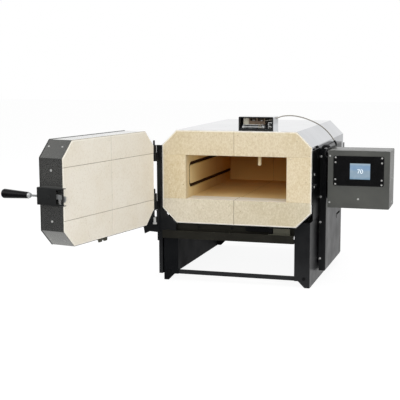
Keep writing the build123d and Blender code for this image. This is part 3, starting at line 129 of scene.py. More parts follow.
class Finish(Graph):
    """A finish under way: a shader and the patterns that feed it."""

    def __init__(self, name, roughness, metallic=0.0, **sockets):
        self.material = bpy.data.materials.new(name)
        self.material.use_nodes = True
        super().__init__(self.material.node_tree)
        self.shader = self.nodes["Principled BSDF"]
        self.feed(self.shader, Roughness=roughness, Metallic=metallic, **sockets)
        surface = self.add("ShaderNodeTexCoord")
        self.place = surface.outputs["Object"]
        self.normal = surface.outputs["Normal"]

    def turned(self, angle, centre):
        """Read every later pattern on coordinates turned about an upright axis."""
        turn = self.add("ShaderNodeVectorRotate", {"rotation_type": "Z_AXIS"},
                        Vector=self.place, Center=tuple(centre), Angle=angle)
        self.place = turn.outputs["Vector"]

    def axis(self, name):
        """One coordinate of the point, in metres."""
        return self.add("ShaderNodeSeparateXYZ", Vector=self.place).outputs[name]

    def facing(self, name):
        """How far the surface looks along one axis, from -1 to 1."""
        return self.add("ShaderNodeSeparateXYZ", Vector=self.normal).outputs[name]

    def away(self, name, place):
        """Distance along one axis from a place in millimetres of the frame, in metres."""
        return self.maths("ABSOLUTE",
                          self.maths("SUBTRACT", self.axis(name), place * millimetre))

    def noise(self, scale, detail=3.0, stretch=(1.0, 1.0, 1.0), roughness=0.5):
        """Cloudy pattern with a number of patches to the metre, stretched along an axis."""
        where = self.add("ShaderNodeMapping", Vector=self.place, Scale=stretch).outputs[0]
        return self.add("ShaderNodeTexNoise", Vector=where, Scale=scale, Detail=detail,
                        Roughness=roughness).outputs["Fac"]

    def specks(self, scale, size, share):
        """Small spots: 1 inside the share of cells that carry one, 0 elsewhere."""
        cells = self.add("ShaderNodeTexVoronoi", Vector=self.place, Scale=scale)
        chance = self.add("ShaderNodeSeparateColor", Color=cells.outputs["Color"])
        spot = self.spread(cells.outputs["Distance"], size, size * 0.5)
        carried = self.maths("LESS_THAN", chance.outputs["Red"], share)
        return self.maths("MULTIPLY", spot, carried)

    def seam(self, name, place, width=0.7):
        """Thin line across the surface at one value of a coordinate, in millimetres."""
        return self.spread(self.away(name, place), 0.5 * width * millimetre,
                           width * millimetre, 1.0, 0.0)

    def worn_lit_rim(self, width):
        """Rim round the eight-sided face of the body, its width in millimetres: a worn arris that
        also carries a painted highlight.
        """
        across = self.away("X", frame_origin.x)
        high = self.away("Z", face_middle)
        slope = self.maths("SUBTRACT", self.maths("ADD", across, high),
                           (face_half_width + face_half_height - face_corner) * millimetre)
        sides = self.maths("MAXIMUM",
                           self.maths("SUBTRACT", across, face_half_width * millimetre),
                           self.maths("SUBTRACT", high, face_half_height * millimetre))
        inward = self.maths("MAXIMUM", sides, self.maths("MULTIPLY", slope, diagonal))
        return self.spread(inward, -width * millimetre, -0.5 * width * millimetre)

    def over(self, paint, amount, code):
        """Lay a colour over the paint by an amount."""
        return self.mixed(amount, paint, colour(code))

    def done(self, relief=None, strength=0.0, depth=0.0, **inputs):
        """Feed the shader and raise the surface by a pattern, its height in millimetres."""
        self.feed(self.shader, **inputs)
        if relief is not None:
            bump = self.add("ShaderNodeBump", Strength=strength, Distance=depth * millimetre,
                            Height=relief)
            self.feed(self.shader, Normal=bump.outputs["Normal"])
        return self.material


# Colours that all bricks share (the arris and sill colours are painted highlights), the width of
# the worn arris in millimetres, and in metres of the frame the Y between which a brick turns
# darker and browner and the X between which a pale side fades
brick_chalk = "f6efdf"
brick_speck = "7d6a4c"
brick_arris_highlight = "fbf6ea"
brick_sill_highlight = "fffaf0"
brick_joint = "5b4a33"
arris_width = 3.4
deep_from, deep_to = -0.056, 0.4
pale_from, pale_to = -0.15, 0.14


def firebrick(name, light, dark, fleck, seams=(), depth_tint=None, on_the_door=False, pale=None):
    """Soft porous brick: grain, open pores, dark specks, a worn arris with a painted highlight, a
    painted highlight on upward faces of pale bricks, and dusty joints.
    """
    finish = Finish(name, 0.94, Specular_IOR_Level=0.15)
    if on_the_door:
        finish.turned(door_open_angle, (hinge_axis + frame_origin) * millimetre)
    patches = finish.spread(finish.noise(11.0, 5.0), 0.38, 0.7, end=0.7)
    grain = finish.noise(560.0, 4.0, roughness=0.75)
    mottle = finish.noise(290.0, 3.0, (1.0, 1.0, 0.7), 0.65)
    paint = finish.over(colour(light), patches, dark)
    if pale:
        left_side = finish.spread(finish.axis("X"), pale_from, pale_to, 0.7, 0.0)
        paint = finish.over(paint, left_side, pale)
    paint = finish.over(paint, finish.spread(mottle, 0.5, 0.75, end=0.4), fleck)
    paint = finish.over(paint, finish.spread(mottle, 0.5, 0.25, end=0.4), brick_chalk)
    paint = finish.over(paint, finish.spread(grain, 0.55, 0.8, end=0.35), fleck)
    # Darker and browner towards the back of the chamber, with a faint cloud.
    if depth_tint:
        tan, brown = depth_tint
        depth = finish.spread(finish.axis("Y"), deep_from, deep_to)
        cloud = finish.spread(finish.noise(9.0, 2.0), 0.2, 0.8, -0.12, 0.12)
        deep_share = finish.spread(finish.maths("ADD", depth, cloud), 0.1, 0.9)
        paint = finish.mixed(finish.spread(depth, 0.0, 0.08), paint,
                             finish.over(colour(tan), deep_share, brown))
    specks = finish.maths("MULTIPLY", finish.specks(130.0, 0.2, 0.07),
                          0.3 if on_the_door else 0.55)
    paint = finish.over(paint, specks, brick_speck)
    pores = finish.specks(700.0, 0.4, 0.4)
    paint = finish.over(paint, finish.maths("MULTIPLY", pores, 0.16), fleck)
    # Pale rim round the face: partly a worn, chipped arris and partly a painted highlight where
    # the arris catches the light.
    chips = finish.spread(finish.noise(60.0, 3.0), 0.3, 0.5, 0.35, 0.8)
    worn_and_lit = finish.maths("MULTIPLY", finish.worn_lit_rim(arris_width), chips)
    paint = finish.over(paint, worn_and_lit, brick_arris_highlight)
    # Painted highlight: faces that look up, such as the sill of the mouth, are made paler as if
    # lit from above.
    if pale:
        paint = finish.over(paint, finish.spread(finish.facing("Z"), 0.7, 0.95, end=0.85),
                            brick_sill_highlight)
    for axis_name, place, strength in seams:
        line = finish.maths("MULTIPLY", finish.seam(axis_name, place), strength)
        paint = finish.over(paint, line, brick_joint)
    return finish.done(finish.maths("SUBTRACT", grain, pores), 0.5, 0.5, Base_Color=paint)


def powder_coat(name, paint, dust, roughness, grain=900.0, gloss=0.4):
    """Baked powder paint on folded sheet: fine peel, a little dust and rubbed patches."""
    finish = Finish(name, roughness, Specular_IOR_Level=gloss)
    peel = finish.noise(grain)
    patches = finish.noise(16.0)
    tone = finish.over(colour(paint), finish.spread(patches, 0.4, 0.75, end=0.5), dust)
    tone = finish.over(tone, finish.maths("MULTIPLY", finish.specks(500.0, 0.25, 0.08), 0.35),
                       dust)
    sheen = finish.spread(patches, 0.3, 0.7, roughness - 0.06, roughness + 0.08)
    return finish.done(peel, 0.3, 0.08, Base_Color=tone, Roughness=sheen)


def bright_sheet(name, paint, roughness, stretch, streak, metallic=1.0, edge_highlight=False):
    """Stainless sheet with fine rolled streaks and faint smudges; the front edge gets a painted
    highlight, pale and dull.
    """
    finish = Finish(name, roughness, metallic)
    streaks = finish.noise(700.0, stretch=stretch)
    smudges = finish.noise(11.0)
    tone = finish.over(colour(paint), finish.spread(smudges, 0.35, 0.75, end=0.35), "8e9296")
    blur = finish.spread(streaks, 0.25, 0.75, roughness - streak / 2, roughness + streak / 2)
    blur = finish.maths("ADD", blur, finish.spread(smudges, 0.4, 0.8, end=1.2 * streak))
    inputs = {"Base_Color": tone, "Roughness": blur}
    if edge_highlight:
        # Painted highlight: faces that look to the front, the sheet's cut edge, are pale and
        # hardly metallic, as if lit.
        lit_edge = finish.spread(finish.facing("Y"), -0.7, -0.95)
        inputs["Base_Color"] = finish.over(tone, lit_edge, "f2f2ef")
        inputs["Metallic"] = finish.spread(lit_edge, 0.0, 1.0, 1.0, 0.1)
    return finish.done(streaks, 0.05, 0.03, **inputs)


def plated_metal(name, paint, stain, roughness, metallic=1.0):
    """Turned or plated small parts with fine scratches and dull patches."""
    finish = Finish(name, roughness, metallic)
    scratches = finish.noise(1400.0, 2.0, (1.0, 1.0, 0.15))
    patches = finish.noise(260.0)
    tone = finish.over(colour(paint), finish.spread(patches, 0.4, 0.8, end=0.6), stain)
    blur = finish.spread(scratches, 0.3, 0.7, roughness - 0.08, roughness + 0.12)
    return finish.done(scratches, 0.2, 0.03, Base_Color=tone, Roughness=blur)


def moulded(name, paint, shade, roughness, grain=1100.0, height=0.06, coat=0.0):
    """Moulded plastic, rubber or glazed ware: an even skin with a fine grain."""
    finish = Finish(name, roughness, Coat_Weight=coat, Coat_Roughness=0.12)
    skin = finish.noise(grain, 2.0)
    patches = finish.noise(70.0)
    tone = finish.over(colour(paint), finish.spread(patches, 0.35, 0.75), shade)
    blur = finish.spread(skin, 0.3, 0.7, roughness - 0.05, roughness + 0.07)
    return finish.done(skin, 0.3, height, Base_Color=tone, Roughness=blur)


def braided(name, paint, thread):
    """Braided jacket: crossed bands of thread that wind round the lead."""
    finish = Finish(name, 0.7)
    bands = []
    for side in (1.0, -1.0):
        lean = [side * radians(degrees) for degrees in (38, 20, 45)]
        where = finish.add("ShaderNodeMapping", Vector=finish.place, Rotation=lean)
        wave = finish.add("ShaderNodeTexWave", Vector=where.outputs[0], Scale=420.0,
                          Distortion=0.4, Detail=1.0)
        bands.append(wave.outputs["Fac"])
    weave = finish.maths("MAXIMUM", *bands)
    tone = finish.over(colour(paint), finish.spread(weave, 0.35, 0.85), thread)
    return finish.done(weave, 0.6, 0.2, Base_Color=tone)


def etched_board(name):
    """Green board with paler copper runs and rows of solder points."""
    finish = Finish(name, 0.4, Coat_Weight=0.4)
    where = finish.add("ShaderNodeMapping", Vector=finish.place, Scale=(1.0, 0.0, 1.0),
                       Rotation=(pi / 2, 0.0, 0.0))
    runs = finish.add("ShaderNodeTexBrick", Vector=where.outputs[0], Scale=110.0,
                      Color1=colour("1f5a37"), Color2=colour("26683f"), Mortar=colour("5c9a63"),
                      Mortar_Size=0.06)
    points = finish.specks(260.0, 0.28, 0.35)
    tone = finish.over(runs.outputs["Color"], points, "c9c2a8")
    return finish.done(points, 0.6, 0.3, Base_Color=tone)


def lit_screen(name):
    """Lit display under glass: a pale blue field with level bands and a faint cloud."""
    finish = Finish(name, 0.12, Base_Color=colour("10141c"), Coat_Weight=0.6)
    height = finish.spread(finish.axis("Z"), screen_low * millimetre, screen_high * millimetre)
    tone = colour("7b9ab2")
    for low, high, code in ((0.0, 0.16, "94aabb"), (0.5, 0.64, "86a4c2"), (0.84, 0.94, "9fb4c2")):
        tone = finish.over(tone, finish.spread(height, low, high), code)
    cloud = finish.spread(finish.noise(90.0, 2.0), 0.45, 0.8, end=0.3)
    return finish.done(Emission_Color=finish.over(tone, cloud, "b9cbd6"), Emission_Strength=0.95)


def lit_figures(name):
    """White lit figures with a faint unevenness."""
    finish = Finish(name, 0.3, Base_Color=colour("d8dee2"))
    cloud = finish.spread(finish.noise(400.0, 2.0), 0.3, 0.7)
    return finish.done(Emission_Color=finish.over(colour("eef4f6"), cloud, "dbe6ec"),
                       Emission_Strength=0.9)


# Joints of the bricks: the axis that each one crosses, its place and its darkness
upper_seam = ("X", frame_origin.x - 4.0, 0.25)
lower_seam = ("X", frame_origin.x - 4.0, 0.7)
middle_seam = ("X", frame_origin.x, 0.5)
course_seams = [("Y", frame_origin.y + y, 0.5) for y in (63.7, 292.3)]
door_seams = [middle_seam, ("Z", 217.5, 0.55), ("Z", 338.5, 0.55)]

recipes = (
    (firebrick, {
        "firebrick": dict(light="dfd1b4", dark="d4c4a1", fleck="b39a70", seams=[upper_seam]),
        "lower_firebrick": dict(light="d2c7ad", dark="c5b899", fleck="ac9c76",
                                seams=[lower_seam], pale="e4dccb"),
        "side_firebrick": dict(light="e2d3b4", dark="d6c5a0", fleck="b4965f",
                               seams=course_seams, depth_tint=("efd7a2", "dba95f")),
        "hot_firebrick": dict(light="e0cda2", dark="d2b880", fleck="a58350",
                              seams=[middle_seam] + course_seams, depth_tint=("f6dea9", "eeb96a")),
        "back_firebrick": dict(light="e0cda2", dark="d2b880", fleck="a58350",
                               seams=[middle_seam], depth_tint=("ecd0a0", "d2a05a")),
        "door_firebrick": dict(light="f6f0e3", dark="ede4d2", fleck="d6c8ae",
                               seams=door_seams, on_the_door=True),
    }),
    (bright_sheet, {
        "polished_stainless": dict(paint="d2d4d7", roughness=0.06, stretch=(1.0, 0.05, 1.0),
                                   streak=0.03),
        "sleeve_stainless": dict(paint="bfc1c5", roughness=0.035, stretch=(1.0, 0.05, 1.0),
                                 streak=0.02, edge_highlight=True),
        "band_stainless": dict(paint="d1d1cd", roughness=0.14, stretch=(1.0, 1.0, 0.04),
                               streak=0.06, metallic=0.94),
    }),
    (powder_coat, {
        "black_powder": dict(paint="141517", dust="232425", roughness=0.34),
        "stand_powder": dict(paint="131416", dust="1f2021", roughness=0.6, gloss=0.06),
        "rail_powder": dict(paint="201f1a", dust="2c2b25", roughness=0.5, gloss=0.2),
        "latch_powder": dict(paint="242525", dust="323333", roughness=0.36),
        "black_gloss": dict(paint="0e0f10", dust="1c1d1e", roughness=0.34, grain=600.0,
                            gloss=0.15),
        "grey_powder": dict(paint="525350", dust="5f605b", roughness=0.32, grain=1200.0,
                            gloss=0.6),
        "switch_grey": dict(paint="4a493f", dust="3a392f", roughness=0.5, gloss=0.3),
    }),
    (moulded, {
        "faceplate_black": dict(paint="0c0c0d", shade="121214", roughness=0.3, grain=1600.0,
                                height=0.02),
        "relay_black": dict(paint="1a1a1b", shade="222224", roughness=0.5),
        "terminal_bakelite": dict(paint="8b7761", shade="66564a", roughness=0.45, grain=700.0,
                                  height=0.1),
        "glazed_insulator": dict(paint="ece6d6", shade="ddd4be", roughness=0.3, grain=500.0,
                                 height=0.04, coat=0.5),
        "sheath_ceramic": dict(paint="e2d4b2", shade="c7b083", roughness=0.55, grain=800.0,
                               height=0.08),
        "gland_nylon": dict(paint="1c1c1e", shade="28282a", roughness=0.48),
        "grip_plastic": dict(paint="0c0c0e", shade="131316", roughness=0.25, grain=900.0,
                             height=0.03, coat=0.1),
        "cable_black": dict(paint="141415", shade="1c1c1e", roughness=0.6, grain=800.0,
                            height=0.1),
    }),
    (plated_metal, {
        "fastener_steel": dict(paint="dcdcda", stain="a9aaa8", roughness=0.4, metallic=0.35),
        "blackened_steel": dict(paint="2b2b2c", stain="1a1a1b", roughness=0.45),
        "hinge_steel": dict(paint="3a3b3c", stain="26272a", roughness=0.4),
        "latch_steel": dict(paint="b4b6b6", stain="7d7f7f", roughness=0.35, metallic=0.6),
        "terminal_steel": dict(paint="f7f8f7", stain="d4d5d4", roughness=0.3, metallic=0.08),
        "chrome_ferrule": dict(paint="eceded", stain="c8cacb", roughness=0.14, metallic=0.5),
        "element_wire": dict(paint="5a4434", stain="33241a", roughness=0.6),
    }),
    (braided, {"lead_grey": dict(paint="847f76", thread="aca79d")}),
    (etched_board, {"board_green": {}}),
    (lit_screen, {"screen_glass": {}}),
    (lit_figures, {"lit_figures": {}}),
)
finishes = {name: maker(name, **values)
            for maker, table in recipes for name, values in table.items()}

coats = {
    "firebrick": ("front_top_bricks",),
    "lower_firebrick": ("front_bottom_bricks",),
    "side_firebrick": ("side_bricks_left", "side_bricks_right"),
    "hot_firebrick": ("roof_bricks", "floor_bricks"),
    "back_firebrick": ("back_bricks",),
    "door_firebrick": ("door_bricks",),
    "element_wire": ("heating_elements",),
    "glazed_insulator": ("element_bushings", "probe_insulator"),
    "terminal_steel": ("terminal_posts", "terminal_strap", "terminal_hardware"),
    "polished_stainless": ("case_back", "thermocouple_cover"),
    "sleeve_stainless": ("case_wrap",),
    "band_stainless": ("door_band",),
    "black_powder": ("rear_cover", "cover_mounts", "wiring_cover", "control_bracket",
                     "stand_side_right", "stand_rear_rail", "stand_bars",
                     "body_runners", "hinge_post", "pivot_bracket", "latch_keeper",
                     "door_back_plate", "door_hinge_arms"),
    "latch_powder": ("latch_housing", "latch_pin"),
    "stand_powder": ("stand_side_left",),
    "rail_powder": ("stand_front_rail",),
    "black_gloss": ("side_plate",),
    "grey_powder": ("control_box_shell", "control_box_front"),
    "faceplate_black": ("faceplate",),
    "screen_glass": ("display_screen",),
    "board_green": ("circuit_board",),
    "relay_black": ("power_relay",),
    "terminal_bakelite": ("terminal_block",),
    "sheath_ceramic": ("thermocouple_sheath",),
    "gland_nylon": ("cord_gland",),
    "lead_grey": ("thermocouple_lead",),
    "cable_black": ("lead_sleeve", "wiring_loom"),
    "fastener_steel": ("case_screws", "door_screws", "pivot_bolt", "latch_spring"),
    "blackened_steel": ("stand_screws", "switch_lever"),
    "hinge_steel": ("hinge_pins",),
    "latch_steel": ("latch_lever",),
    "switch_grey": ("switch_bracket", "switch_striker"),
    "chrome_ferrule": ("handle_ferrule",),
    "grip_plastic": ("handle_grip",),
}


def painted(mesh, finish):
    """Give a whole mesh one finish."""
    mesh.materials.clear()
    mesh.materials.append(finishes[finish])


for finish_name, node_names in coats.items():
    for node_name in node_names:
        painted(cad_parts[node_name].data, finish_name)


def new_mesh(name, corners, edges=(), faces=()):
    """Mesh from corners in the shared frame."""
    mesh = bpy.data.meshes.new(name)
    mesh.from_pydata([tuple(corner) for corner in corners], edges, faces)
    return mesh


def in_scene(name, data):
    """New object in the scene."""
    thing = bpy.data.objects.new(name, data)
    bpy.context.scene.collection.objects.link(thing)
    return thing


def evaluated(thing):
    """Mesh of an object as its curve or its modifiers make it."""
    bpy.context.view_layer.update()
    return bpy.data.meshes.new_from_object(
        thing.evaluated_get(bpy.context.evaluated_depsgraph_get()))


def kept(piece, body, finish, stands_for=()):
    """Keep a piece on its body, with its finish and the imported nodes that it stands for."""
    painted(piece.data, finish)
    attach(piece, body)
    if stands_for:
        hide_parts(*stands_for)


class Growth(Graph):
    """Geometry tree with named inputs."""

    def __init__(self, name, inputs):
        super().__init__(bpy.data.node_groups.new(name, "GeometryNodeTree"))
        sockets = [("Geometry", "INPUT", "Geometry")]
        sockets += [(label, "INPUT", kind) for label, kind in inputs.items()]
        sockets += [("Geometry", "OUTPUT", "Geometry")]
        for label, side, kind in sockets:
            self.tree.interface.new_socket(label, in_out=side, socket_type="NodeSocket" + kind)
        self.given = self.nodes.new("NodeGroupInput").outputs
        self.result = self.nodes.new("NodeGroupOutput").inputs

    def vector(self, operation, *terms, **values):
        """Arithmetic on vectors."""
        return self.maths(operation, *terms, kind="ShaderNodeVectorMath", **values)


def grown(name, mesh, tree, values, body, finish, stands_for=()):
    """Run a tree on a mesh with values for its inputs, and keep the result as a plain piece."""
    host = in_scene(name, mesh)
    modifier = host.modifiers.new("grow", "NODES")
    modifier.node_group = tree
    labels = {item.name: item.identifier for item in tree.interface.items_tree
              if item.in_out == "INPUT"}
    for label, value in values.items():
        modifier[labels[label]] = value
    result = evaluated(host)
    host.modifiers.remove(modifier)
    result.polygons.foreach_set("material_index", [0] * len(result.polygons))
    result.name = name
    host.data = result
    kept(host, body, finish, stands_for)


# Heating elements and latch spring, as real turns of wire
def coil_tree():
    """Wire wound along a path: the path's corners are rounded, then a helix follows it."""
    coil = Growth("wound_wire", {
        "Bend radius": "Float", "Winding radius": "Float", "Pitch": "Float",
        "Wire radius": "Float", "Steps per turn": "Int", "Wire sides": "Int",
        "Start turn": "Float"})
    given = coil.given
    path = coil.add("GeometryNodeMeshToCurve", Mesh=given["Geometry"])
    bent = coil.add("GeometryNodeFilletCurve", {"mode": "POLY"}, Curve=path.outputs[0],
                    Radius=given["Bend radius"], Count=9, Limit_Radius=True)
    size = coil.add("GeometryNodeCurveLength", Curve=bent.outputs[0])
    turns = coil.maths("DIVIDE", size.outputs[0], given["Pitch"])
    fine = coil.add("GeometryNodeResampleCurve", Curve=bent.outputs[0],
                    Count=coil.maths("MULTIPLY", turns, given["Steps per turn"]))
    along = coil.add("GeometryNodeSplineParameter").outputs["Length"]
    turned = coil.maths("MULTIPLY", coil.maths("DIVIDE", along, given["Pitch"]), 2 * pi)
    angle = coil.maths("ADD", turned, given["Start turn"])
    outward = coil.add("GeometryNodeInputNormal").outputs[0]
    tangent = coil.add("GeometryNodeInputTangent").outputs[0]
    across = coil.vector("CROSS_PRODUCT", tangent, outward)
    reach = [coil.vector("SCALE", way, Scale=coil.maths(
        "MULTIPLY", coil.maths(wave, angle), given["Winding radius"]))
        for wave, way in (("COSINE", outward), ("SINE", across))]
    wound = coil.add("GeometryNodeSetPosition", Geometry=fine.outputs[0],
                     Offset=coil.vector("ADD", *reach))
    section = coil.add("GeometryNodeCurvePrimitiveCircle", Resolution=given["Wire sides"],
                       Radius=given["Wire radius"])
    wire = coil.add("GeometryNodeCurveToMesh", Curve=wound.outputs[0],
                    Profile_Curve=section.outputs[0], Fill_Caps=True)
    smooth = coil.add("GeometryNodeSetShadeSmooth", Geometry=wire.outputs[0])
    coil.put(coil.result[0], smooth.outputs[0])
    return coil.tree


def path_mesh(name, paths):
    """Mesh of open runs of points joined by edges."""
    points, edges = [], []
    for path in paths:
        first = len(points)
        points.extend(path)
        edges.extend((i, i + 1) for i in range(first, len(points) - 1))
    return new_mesh(name, points, edges)


def winding(bend, radius, wire, pitch, steps, sides, start=0.0):
    """Inputs of the coil tree, with its lengths in millimetres."""
    return {"Bend radius": bend * millimetre, "Winding radius": radius * millimetre,
            "Wire radius": wire / 2 * millimetre, "Pitch": pitch * millimetre,
            "Steps per turn": steps, "Wire sides": sides, "Start turn": start}


wound_wire = coil_tree()
coil_x, tail_x = 138.0, 140.35
coil_low, coil_high = 249.0, 307.0
coil_front, coil_back, tail_back = 35.0, 495.0, 527.4
coil_turn = 12.0
coil_diameter, coil_wire, coil_pitch = 9.0, 1.5, 3.4
tail_twist, tail_wire, tail_pitch = 1.0, 1.9, 14.0

coil_paths = [[on_cabinet(side * coil_x, y, z) for y, z in (
    (coil_back, coil_low), (coil_front, coil_low), (coil_front, coil_high),
    (coil_back, coil_high))] for side in (-1, 1)]
tail_paths = [[on_cabinet(side * tail_x, y, z) for y in (coil_back, tail_back)]
              for side in (-1, 1) for z in (coil_low, coil_high)]
grown("element_coils", path_mesh("element_coils", coil_paths), wound_wire,
      winding(coil_turn, (coil_diameter - coil_wire) / 2, coil_wire, coil_pitch, 10, 5),
      "cabinet", "element_wire", ("heating_elements",))
for start, label in ((0.0, "element_tails_first"), (pi, "element_tails_second")):
    grown(label, path_mesh(label, tail_paths), wound_wire,
          winding(coil_turn, tail_twist, tail_wire, tail_pitch, 16, 8, start),
          "cabinet", "element_wire")

spring_x, spring_y = 205.0, -6.0
spring_low, spring_high = 256.0, 267.6
spring_radius, spring_wire, spring_pitch = 2.5, 0.9, 1.7
spring_path = [on_door(spring_x, spring_y, z) for z in (spring_low, spring_high)]
grown("spring_coil", path_mesh("spring_coil", [spring_path]), wound_wire,
      winding(0.0, spring_radius, spring_wire, spring_pitch, 20, 8),
      "door", "fastener_steel", ("latch_spring",))


# Screws and bolts
def ring(radius, count, start=0.0):
    """Points of a circle in the plane of a head."""
    return [Vector((radius * cos(start + 2 * pi * i / count),
                    radius * sin(start + 2 * pi * i / count))) for i in range(count)]


def cross_head(name, rise, sides=20):
    """Domed head of unit width with a cross recess, facing Z from the origin."""
    arm, slot, depth = 0.29, 0.062, 0.55
    cross = [(arm, -slot), (arm, slot), (slot, slot), (slot, arm), (-slot, arm), (-slot, slot),
             (-arm, slot), (-arm, -slot), (-slot, -slot), (-slot, -arm), (slot, -arm),
             (slot, -slot)]
    flat = [Vector(p) for p in cross]
    for radius in (0.36, 0.43, 0.475, 0.5):
        flat += ring(radius, sides)
    rim_loop = list(range(len(flat) - sides, len(flat)))
    cross_loop = list(range(len(cross)))
    points, _, faces, *_ = delaunay_2d_cdt(flat, [], [rim_loop, cross_loop], 1, 1e-6)

    def inside(p):
        return ((abs(p.x) < arm and abs(p.y) < slot) or (abs(p.x) < slot and abs(p.y) < arm))

    def dome(p):
        return rise * (1.0 - 0.42 * (2 * p.length) ** 3)

    def found(places):
        """Numbers of the corners that stand at these places."""
        near = {tuple(round(c, 5) for c in p): i for i, p in enumerate(points)}
        return [near[tuple(round(c, 5) for c in p)] for p in places]

    corners = [(p.x, p.y, dome(p)) for p in points]
    kept_faces = []
    for face in faces:
        middle = sum((points[i] for i in face), Vector((0.0, 0.0))) / len(face)
        if not inside(middle):
            kept_faces.append(tuple(face))
    floor = len(corners)
    corners += [(x, y, rise * (1.0 - depth)) for x, y in cross]
    kept_faces.append(tuple(range(floor, floor + len(cross))))
    upper = found([Vector(p) for p in cross])
    for i in range(len(cross)):
        j = (i + 1) % len(cross)
        kept_faces.append((upper[i], upper[j], floor + j, floor + i))
    base = len(corners)
    outer = found(ring(0.5, sides))
    corners += [(p.x, p.y, 0.0) for p in ring(0.5, sides)]
    for i in range(sides):
        j = (i + 1) % sides
        kept_faces.append((outer[i], base + i, base + j, outer[j]))
    kept_faces.append(tuple(range(base + sides - 1, base - 1, -1)))
    mesh = new_mesh(name, corners, (), kept_faces)
    mesh.validate()
    return bpy.data.objects.new(name, mesh)


def hex_head(name, rise, sides=6):
    """Hexagon head of unit width across flats with a rounded crown, facing Z."""
    corner = 0.5 / cos(pi / sides)
    levels = [(corner, 0.0), (corner, rise * 0.82), (corner * 0.9, rise), (corner * 0.5, rise)]
    corners = [(p.x, p.y, height) for radius, height in levels
               for p in ring(radius, sides, pi / sides)]
    last = sides * (len(levels) - 1)
    faces = []
    for low in range(0, last, sides):
        for i in range(sides):
            j = (i + 1) % sides
            faces.append((low + i, low + j, low + sides + j, low + sides + i))
    faces.append(tuple(range(last, last + sides)))
    faces.append(tuple(range(sides - 1, -1, -1)))
    return bpy.data.objects.new(name, new_mesh(name, corners, (), faces))


def spread_tree():
    """One head on each point, square to the surface there and turned at random."""
    spread = Growth("spread_heads", {"Head": "Object", "Turn": "Float", "Seed": "Int"})
    given = spread.given
    way, width = (spread.add("GeometryNodeInputNamedAttribute", {"data_type": kind}, Name=name)
                  for name, kind in (("way", "FLOAT_VECTOR"), ("width", "FLOAT")))
    square = spread.add("FunctionNodeAlignRotationToVector", {"axis": "Z"},
                        Vector=way.outputs[0])
    chance = spread.add("FunctionNodeRandomValue", {"data_type": "FLOAT"}, Seed=given["Seed"])
    angle = spread.maths("MULTIPLY", chance.outputs[1], given["Turn"])
    spin = spread.add("FunctionNodeAxisAngleToRotation", Axis=(0.0, 0.0, 1.0), Angle=angle)
    placed = spread.add("FunctionNodeRotateRotation", {"rotation_space": "LOCAL"},
                        Rotation=square.outputs[0], Rotate_By=spin.outputs[0])
    head = spread.add("GeometryNodeObjectInfo", Object=given["Head"])
    heads = spread.add("GeometryNodeInstanceOnPoints", Points=given["Geometry"],
                       Instance=head.outputs["Geometry"], Rotation=placed.outputs[0],
                       Scale=width.outputs[0])
    real = spread.add("GeometryNodeRealizeInstances", Geometry=heads.outputs[0])
    spread.put(spread.result[0], real.outputs[0])
    return spread.tree


def spots_mesh(name, spots):
    """Points that carry a head's direction and its width, from places in the shared frame."""
    mesh = new_mesh(name, [place for place, _, _ in spots])
    mesh.attributes.new("way", "FLOAT_VECTOR", "POINT")
    mesh.attributes.new("width", "FLOAT", "POINT")
    for i, (_, way, width) in enumerate(spots):
        mesh.attributes["way"].data[i].vector = way
        mesh.attributes["width"].data[i].value = width * millimetre
    return mesh


def spots_at(places, way, width, stand=on_cabinet):
    """The same head at several places, with its direction and its width in millimetres."""
    return [(stand(*place), way, width) for place in places]


# Widths of the heads, and the places of the screws on each piece that they hold
corner_head, plate_head, small_head, cover_head, bolt_width = 4.0, 4.4, 5.0, 6.0, 8.0
faceplate_front = 48.8
faceplate_columns = (249.35, 365.65)
faceplate_levels = (264.6, 276.3, 319.6, 332.0)
box_front = 50.0
box_front_screws = ((235.0, 217.1), (235.0, 335.5), (307.65, 227.1))
box_right, box_side_y = 385.3, 95.7
box_side_levels = (218.1, 278.1)
wiring_cover_x, wiring_cover_front = 202.55, 108.5
wiring_cover_levels = (57.6, 154.8, 222.0, 327.8)
keeper_right = 201.05
keeper_screws = ((18.0, 290.0), (17.0, 259.0))
rear_cover_side, rear_cover_y = 197.0, 518.0
rear_cover_levels = (236.0, 308.0)
rail_front, rail_level = 12.0, 144.5
rail_columns = (-102.0, -12.0, 80.0)
foot_x, foot_level, stand_back = 180.5, 23.25, 514.0
band_edge, band_middle = 198.05, -33.55
band_levels = (215.5, 331.5)
band_corner_x = 174.0
band_corner_depths = (-55.8, -18.0)
band_corner_levels = ((383.3, 1), (169.0, -1))

case_spots = spots_at([(x, faceplate_front, z) for x in faceplate_columns
                       for z in faceplate_levels], front, plate_head)
case_spots += spots_at([(x, box_front, z) for x, z in box_front_screws], front, small_head)
case_spots += spots_at([(box_right, box_side_y, z) for z in box_side_levels], right, small_head)
case_spots += spots_at([(wiring_cover_x, wiring_cover_front, z) for z in wiring_cover_levels],
                       front, cover_head)
case_spots += spots_at([(keeper_right, y, z) for y, z in keeper_screws], right, cover_head)
for side in (-1, 1):
    case_spots += spots_at([(side * rear_cover_side, rear_cover_y, z)
                            for z in rear_cover_levels], side * right, small_head)
rail_spots = spots_at([(x, rail_front, rail_level) for x in rail_columns], front, small_head)
foot_spots = []
for x in (-foot_x, foot_x):
    foot_spots += spots_at([(x, 0.0, foot_level)], front, bolt_width)
    foot_spots += spots_at([(x, stand_back, foot_level)], back, bolt_width)
door_spots = spots_at([(band_edge, band_middle, z) for z in band_levels], door_swing @ right,
                      small_head, on_door)
for y in band_corner_depths:
    for z, up in band_corner_levels:
        door_spots += spots_at([(band_corner_x, y, z)],
                               door_swing @ Vector((diagonal, 0, diagonal * up)), corner_head,
                               on_door)

spread_heads = spread_tree()
pan_head = cross_head("pan_head", 0.3)
bolt_head = hex_head("bolt_head", 0.3)
any_turn, flat_turn = 2 * pi, pi / 3
